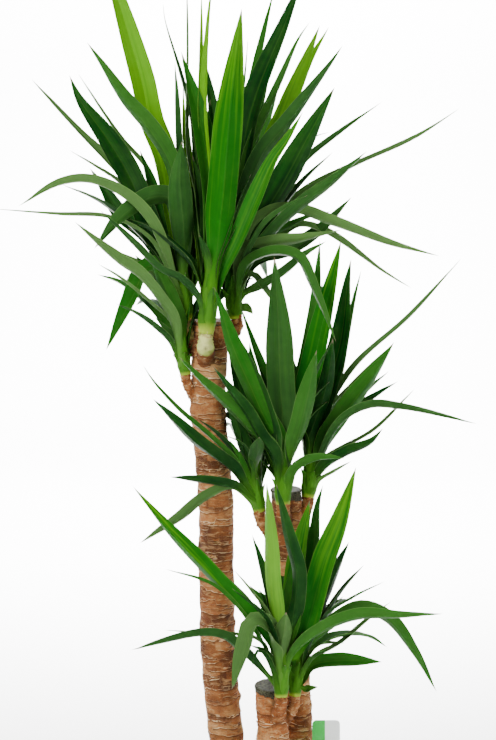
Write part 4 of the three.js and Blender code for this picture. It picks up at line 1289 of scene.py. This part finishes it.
def stem_skin(skin, head, rng):
    """The green stem and a few short pale bracts at its foot."""
    base, heart, rise = stem_ends(head)
    height = np.linalg.norm(heart - base)
    shares = np.linspace(0, 1, STEM_ROWS)
    radii = stem_girth(head, shares)
    grid = round_rod(base + rise * (shares * height)[:, None], radii, STEM_SIDES, 0.04)
    values = {"tone": 0.5, "sage": 0.0, "along": 0.1, "across": 0.5, "seed": 3.0, "under": 0.0}
    foot = np.repeat(shares * height, STEM_SIDES)
    skin.grid(grid, reach=foot - 12, foot=foot / head["cream"], **values)
    for wrap in range(SHEATH_COUNT):
        turn = wrap * GOLDEN_TURN + 1.1
        outward = round_stem(rise, turn)
        share = 0.12 + 0.25 * wrap / SHEATH_COUNT
        length = rng.uniform(0.3, 0.5) * height
        start = base + rise * share * height
        girth = stem_girth(head, share)
        spots = []
        for part, lean in SHEATH_LEANS:
            spots.append(start + rise * length * part + outward * (girth + lean))
        grow_leaf(skin, head, share, spots, outward, 1.1 * girth, (0, 0), "m", turn, rng)


def shown(face):
    """Blades in view are turned a little further to the front than in the plain part."""
    return float(np.clip(face * FACE_GAIN, -MOST_FACE, MOST_FACE))


def level_way(turn):
    """The level way out at a turn from across."""
    return np.array([math.cos(turn), math.sin(turn), 0])


def grow_seen(skin, head, rng):
    """The leaves that the picture shows, each along its own line."""
    seen = [row for row in head["leaves"] if isinstance(row[5], tuple)]
    for spot, (letter, width, back, face_root, face_tip, *points) in enumerate(seen):
        share = LOWEST_ROOT + ROOT_SPAN * spot / len(seen)
        root = stem_point(head, share)
        spots = seen_spots(root, points, back)
        heading = np.array([np.sign(spots[-1][0] - root[0]), 0, 0])
        faces = (shown(face_root), shown(face_tip))
        turn = math.pi / 2 if back > 0 else -math.pi / 2
        grow_leaf(skin, head, share, spots, heading, width, faces, letter, turn, rng)


def grow_behind(skin, head, rng):
    """The leaves turned to the sides and the back."""
    behind = [row for row in head["leaves"] if not isinstance(row[5], tuple)]
    for spot, (letter, width, heading, rise, length, droop) in enumerate(behind):
        share = HIGHEST_ROOT_BEHIND - ROOT_SPAN_BEHIND * spot / len(behind)
        turn = math.radians(heading)
        outward = level_way(turn)
        spots = hidden_spots(stem_point(head, share), outward, rise, length, droop)
        grow_leaf(skin, head, share, spots, outward, width, (0, 0), letter, turn, rng)


def grow_inner(skin, head, count, rng):
    """Short inner leaves behind the others."""
    for inner in range(count):
        share = rng.uniform(*INNER_ROOTS)
        turn = math.radians(rng.uniform(*INNER_TURNS))
        outward = level_way(turn)
        length = rng.uniform(*INNER_LENGTHS) * LEAF_LENGTHS[head["cane"]]
        rise = rng.uniform(*INNER_RISES)
        droop = rng.uniform(*INNER_DROOPS)
        spots = hidden_spots(stem_point(head, share), outward, rise, length, droop)
        width = rng.uniform(*INNER_WIDTHS)
        letter = INNER_TONES[inner % len(INNER_TONES)]
        grow_leaf(skin, head, share, spots, outward, width, (0, 0), letter, turn, rng)


def make_heads():
    material = leaf_material()
    for order, (name, head) in enumerate(HEADS.items()):
        rng = np.random.default_rng(LEAF_SEED + order)
        head["cream"] = CREAM_FEET.get(name, CREAM_FOOT)
        skin = Skin(("tone", "sage", "seed", "along", "reach", "across", "under", "foot"))
        stem_skin(skin, head, rng)
        grow_seen(skin, head, rng)
        grow_behind(skin, head, rng)
        grow_inner(skin, head, INNER_LEAVES[name], rng)
        place(skin.build(f"head_{name}", material, 45), "leaf", f"leaves_{name}")


# Pot, soil and label

def pot_radius(height):
    neck = POT_HEIGHT - POT_RIM_DEPTH
    return POT_BASE_RADIUS + (POT_NECK_RADIUS - POT_BASE_RADIUS) * min(height / neck, 1)


def turned(profile, sides):
    """Rings of a profile of (radius, height) turned round the pot's axis."""
    turns = rounds(sides)
    rows = []
    for radius, height in profile:
        x = radius * np.cos(turns)
        y = radius * np.sin(turns)
        rows.append(np.stack([x, y, np.full(sides, height)], axis=1))
    return np.stack(rows)


def make_pot():
    neck = POT_HEIGHT - POT_RIM_DEPTH
    foot = POT_BASE_RADIUS
    rim = POT_RIM_RADIUS
    top = POT_HEIGHT
    profile = [
        (0.5, 0), (DRAIN_CIRCLE - 14, 0), (foot - 6, 0), (foot - 4, 0.3), (foot - 2.4, 1.2),
        (pot_radius(3), 3.2), (pot_radius(16), 16), (pot_radius(18) - 1.2, 17.4),
        (pot_radius(22) - 1.2, 22), (pot_radius(24), 23.6), (pot_radius(120), 120),
        (pot_radius(neck - 12), neck - 12), (pot_radius(neck - 2), neck - 2),
        (pot_radius(neck) + 1, neck - 0.6), (rim - 4, neck), (rim - 2.8, neck + 0.6),
        (rim - 2.4, neck + 2), (rim - 0.8, top - 6), (rim, top - 4.4), (rim + 0.2, top - 2),
        (rim - 0.4, top - 0.5), (rim - 1.5, top), (rim - 3, top - 0.4), (rim - 4.2, top - 2),
        (pot_radius(neck) - POT_WALL, neck - 2), (pot_radius(POT_FLOOR) - POT_WALL, POT_FLOOR),
        (0.5, POT_FLOOR),
    ]
    skin = Skin(())
    skin.grid(turned(profile, POT_SIDES))
    piece = skin.build("nursery_pot", pot_material(), 32)
    drains = Skin(())
    for hole in range(DRAIN_COUNT):
        turn = 2 * math.pi * hole / DRAIN_COUNT
        grid = turned([(DRAIN_RADIUS, -5), (DRAIN_RADIUS, POT_FLOOR + 5)], DRAIN_SIDES)
        grid[:, :, 0] += DRAIN_CIRCLE * math.cos(turn)
        grid[:, :, 1] += DRAIN_CIRCLE * math.sin(turn)
        drains.grid(grid)
    cutter = drains.build("drain_cutter", piece.data.materials[0])
    cut = piece.modifiers.new("drains", "BOOLEAN")
    cut.operation = "DIFFERENCE"
    cut.object = cutter
    cut.solver = "EXACT"
    graph = bpy.context.evaluated_depsgraph_get()
    piece.data = bpy.data.meshes.new_from_object(piece.evaluated_get(graph))
    piece.modifiers.clear()
    bpy.data.objects.remove(cutter)
    place(piece, "pot", "pot")


def chip(rng, centre, size, flat):
    """A small irregular lump with eight corners."""
    corners = np.array([[x, y, z] for x in (-1, 1) for y in (-1, 1) for z in (-1, 1)], float)
    corners = corners * rng.uniform(0.45, 1.0, corners.shape) * size * (1, rng.uniform(0.5, 1), flat)
    turn = rng.uniform(0, 2 * np.pi)
    lean = rng.normal(0, 0.35)
    cosine = math.cos(turn)
    sine = math.sin(turn)
    spin = np.array([[cosine, -sine, 0], [sine, cosine, 0], [0, 0, 1]])
    cosine = math.cos(lean)
    sine = math.sin(lean)
    tip = np.array([[1, 0, 0], [0, cosine, -sine], [0, sine, cosine]])
    return corners @ (spin @ tip).T + centre


CHIP_FACES = [[0, 1, 3, 2], [4, 6, 7, 5], [0, 4, 5, 1], [2, 3, 7, 6], [0, 2, 6, 4], [1, 5, 7, 3]]


def make_soil():
    rng = np.random.default_rng(SOIL_SEED)
    rim = pot_radius(SOIL_TOP) - SOIL_CLEARANCE
    turns = rounds(SOIL_SIDES)
    waves = rng.uniform(-1, 1, (SOIL_WAVES, 2)) * rng.uniform(0.02, 0.34, (SOIL_WAVES, 1))
    phases = rng.uniform(0, 6, SOIL_WAVES)

    def surface(x, y):
        bumps = sum(np.sin(wave[0] * x + wave[1] * y + phase) for wave, phase in zip(waves, phases))
        away = np.hypot(x, y) / rim
        return SOIL_TOP + SOIL_CROWN * (1 - away ** 2) - SOIL_DIP * away ** 8 + SOIL_RELIEF * bumps

    floor = POT_FLOOR + 1
    sides = [(1, floor), (pot_radius(floor) - SOIL_CLEARANCE, floor), (rim, SOIL_TOP - 14)]
    rows = list(turned(sides, SOIL_SIDES))
    for radius in np.linspace(rim, 1, SOIL_RINGS):
        x = radius * np.cos(turns)
        y = radius * np.sin(turns)
        z = surface(x, y) + rng.normal(0, 0.35, SOIL_SIDES) * min(radius / 12, 1)
        rows.append(np.stack([x, y, z], axis=1))
    skin = Skin(("tone",))
    skin.grid(np.stack(rows), tone=0.25)
    for index in range(CHIP_COUNT + GRAIN_COUNT):
        radius = rim * math.sqrt(rng.uniform(0, 0.94))
        turn = rng.uniform(0, 2 * np.pi)
        x = radius * math.cos(turn)
        y = radius * math.sin(turn)
        pale = index >= CHIP_COUNT
        size = rng.uniform(*(GRAIN_SIZES if pale else CHIP_SIZES))
        flat = GRAIN_FLAT if pale else rng.uniform(*CHIP_FLATS)
        tone = 1.0 if pale else rng.uniform(0.0, 0.75)
        centre = np.array([x, y, surface(x, y) + size * flat * 0.35])
        skin.add(chip(rng, centre, size, flat), CHIP_FACES, tone=tone)
    place(skin.build("potting_soil", soil_material(), 50), "soil", "soil")


def make_label():
    half = LABEL_WIDTH / 2
    outline = [(0, -LABEL_HEAD - LABEL_POINT), (half / 2, -LABEL_HEAD), (half, -LABEL_HEAD + half)]
    for corner, start in ((half - LABEL_CORNER, 0), (LABEL_CORNER - half, 90)):
        for turn in np.radians(np.linspace(start, start + 90, 13)):
            x = corner + LABEL_CORNER * math.cos(turn)
            z = -LABEL_CORNER + LABEL_CORNER * math.sin(turn)
            outline.append((x, z))
    outline += [(-half, -LABEL_HEAD + half), (-half / 2, -LABEL_HEAD)]
    outline = np.array(outline)
    middle = np.array([0, -LABEL_HEAD / 2])
    top = sight(*LABEL_TOP)
    rows = []
    back = -LABEL_THICKNESS
    edge = LABEL_EDGE
    for depth, inset in ((0, edge), (-edge, 0), (back + edge, 0), (back, edge)):
        pulled = outline - unit(outline - middle) * inset
        row = np.stack([pulled[:, 0], np.full(len(pulled), float(depth)), pulled[:, 1]], axis=1)
        rows.append(row + top)
    rows = np.stack(rows)
    band = np.tile(outline[:, 0] / LABEL_WIDTH + 0.5, len(rows))
    skin = Skin(("band",))
    skin.grid(rows, band=band)
    place(skin.build("plant_tag", label_material(), 50), "label", "plant_label")


# Studio

def make_studio():
    turns = np.linspace(0, math.pi / 2, 24)
    profile = [(-STUDIO_SIZE, 0.0), (STUDIO_BEHIND, 0.0)]
    for turn in turns[1:]:
        y = STUDIO_BEHIND + STUDIO_BEND * math.sin(turn)
        profile.append((y, STUDIO_BEND * (1 - math.cos(turn))))
    profile.append((STUDIO_BEHIND + STUDIO_BEND, STUDIO_SIZE))
    points = [(x, y, z) for y, z in profile for x in (-STUDIO_SIZE, STUDIO_SIZE)]
    faces = [[2 * row, 2 * row + 1, 2 * row + 3, 2 * row + 2] for row in range(len(profile) - 1)]
    mesh = bpy.data.meshes.new("studio_floor")
    mesh.from_pydata(points, [], faces)
    mesh.materials.append(floor_material())
    mesh.shade_smooth()
    floor = bpy.data.objects.new("studio_floor", mesh)
    bpy.context.scene.collection.objects.link(floor)


def add_lamp(name, place_at, aim, size, power, colour, spread):
    lamp = bpy.data.lights.new(name, "AREA")
    lamp.shape = "DISK"
    lamp.size = size
    lamp.energy = power
    lamp.color = colour
    lamp.spread = math.radians(spread)
    holder = bpy.data.objects.new(name, lamp)
    holder.location = place_at
    aimed = np.array(aim) - np.array(place_at)
    holder.rotation_euler = Vector(aimed).to_track_quat("-Z", "Y").to_euler()
    bpy.context.scene.collection.objects.link(holder)


def make_lights():
    world = bpy.data.worlds.new("studio_world")
    bpy.context.scene.world = world
    world.use_nodes = True
    sky = world.node_tree.nodes["Background"]
    sky.inputs["Color"].default_value = (1, 1, 1, 1)
    sky.inputs["Strength"].default_value = SKY_STRENGTH
    for name, lamp in LAMPS.items():
        add_lamp(name, *lamp)


def make_camera():
    camera = bpy.data.cameras.new("photo_camera")
    camera.sensor_fit = "VERTICAL"
    camera.lens = camera.sensor_height * VIEW_DISTANCE / VIEW_HEIGHT
    holder = bpy.data.objects.new("photo_camera", camera)
    x, y, z = VIEW_CENTRE
    eye = (x, y - VIEW_DISTANCE * math.cos(VIEW_PITCH), z + VIEW_DISTANCE * math.sin(VIEW_PITCH))
    holder.location = [MM * value for value in eye]
    holder.rotation_euler = (math.pi / 2 - VIEW_PITCH, 0, 0)
    bpy.context.scene.collection.objects.link(holder)
    bpy.context.scene.camera = holder


make_camera()
make_studio()
make_lights()
make_pot()
make_soil()
make_label()
make_canes()
make_wax()
make_heads()
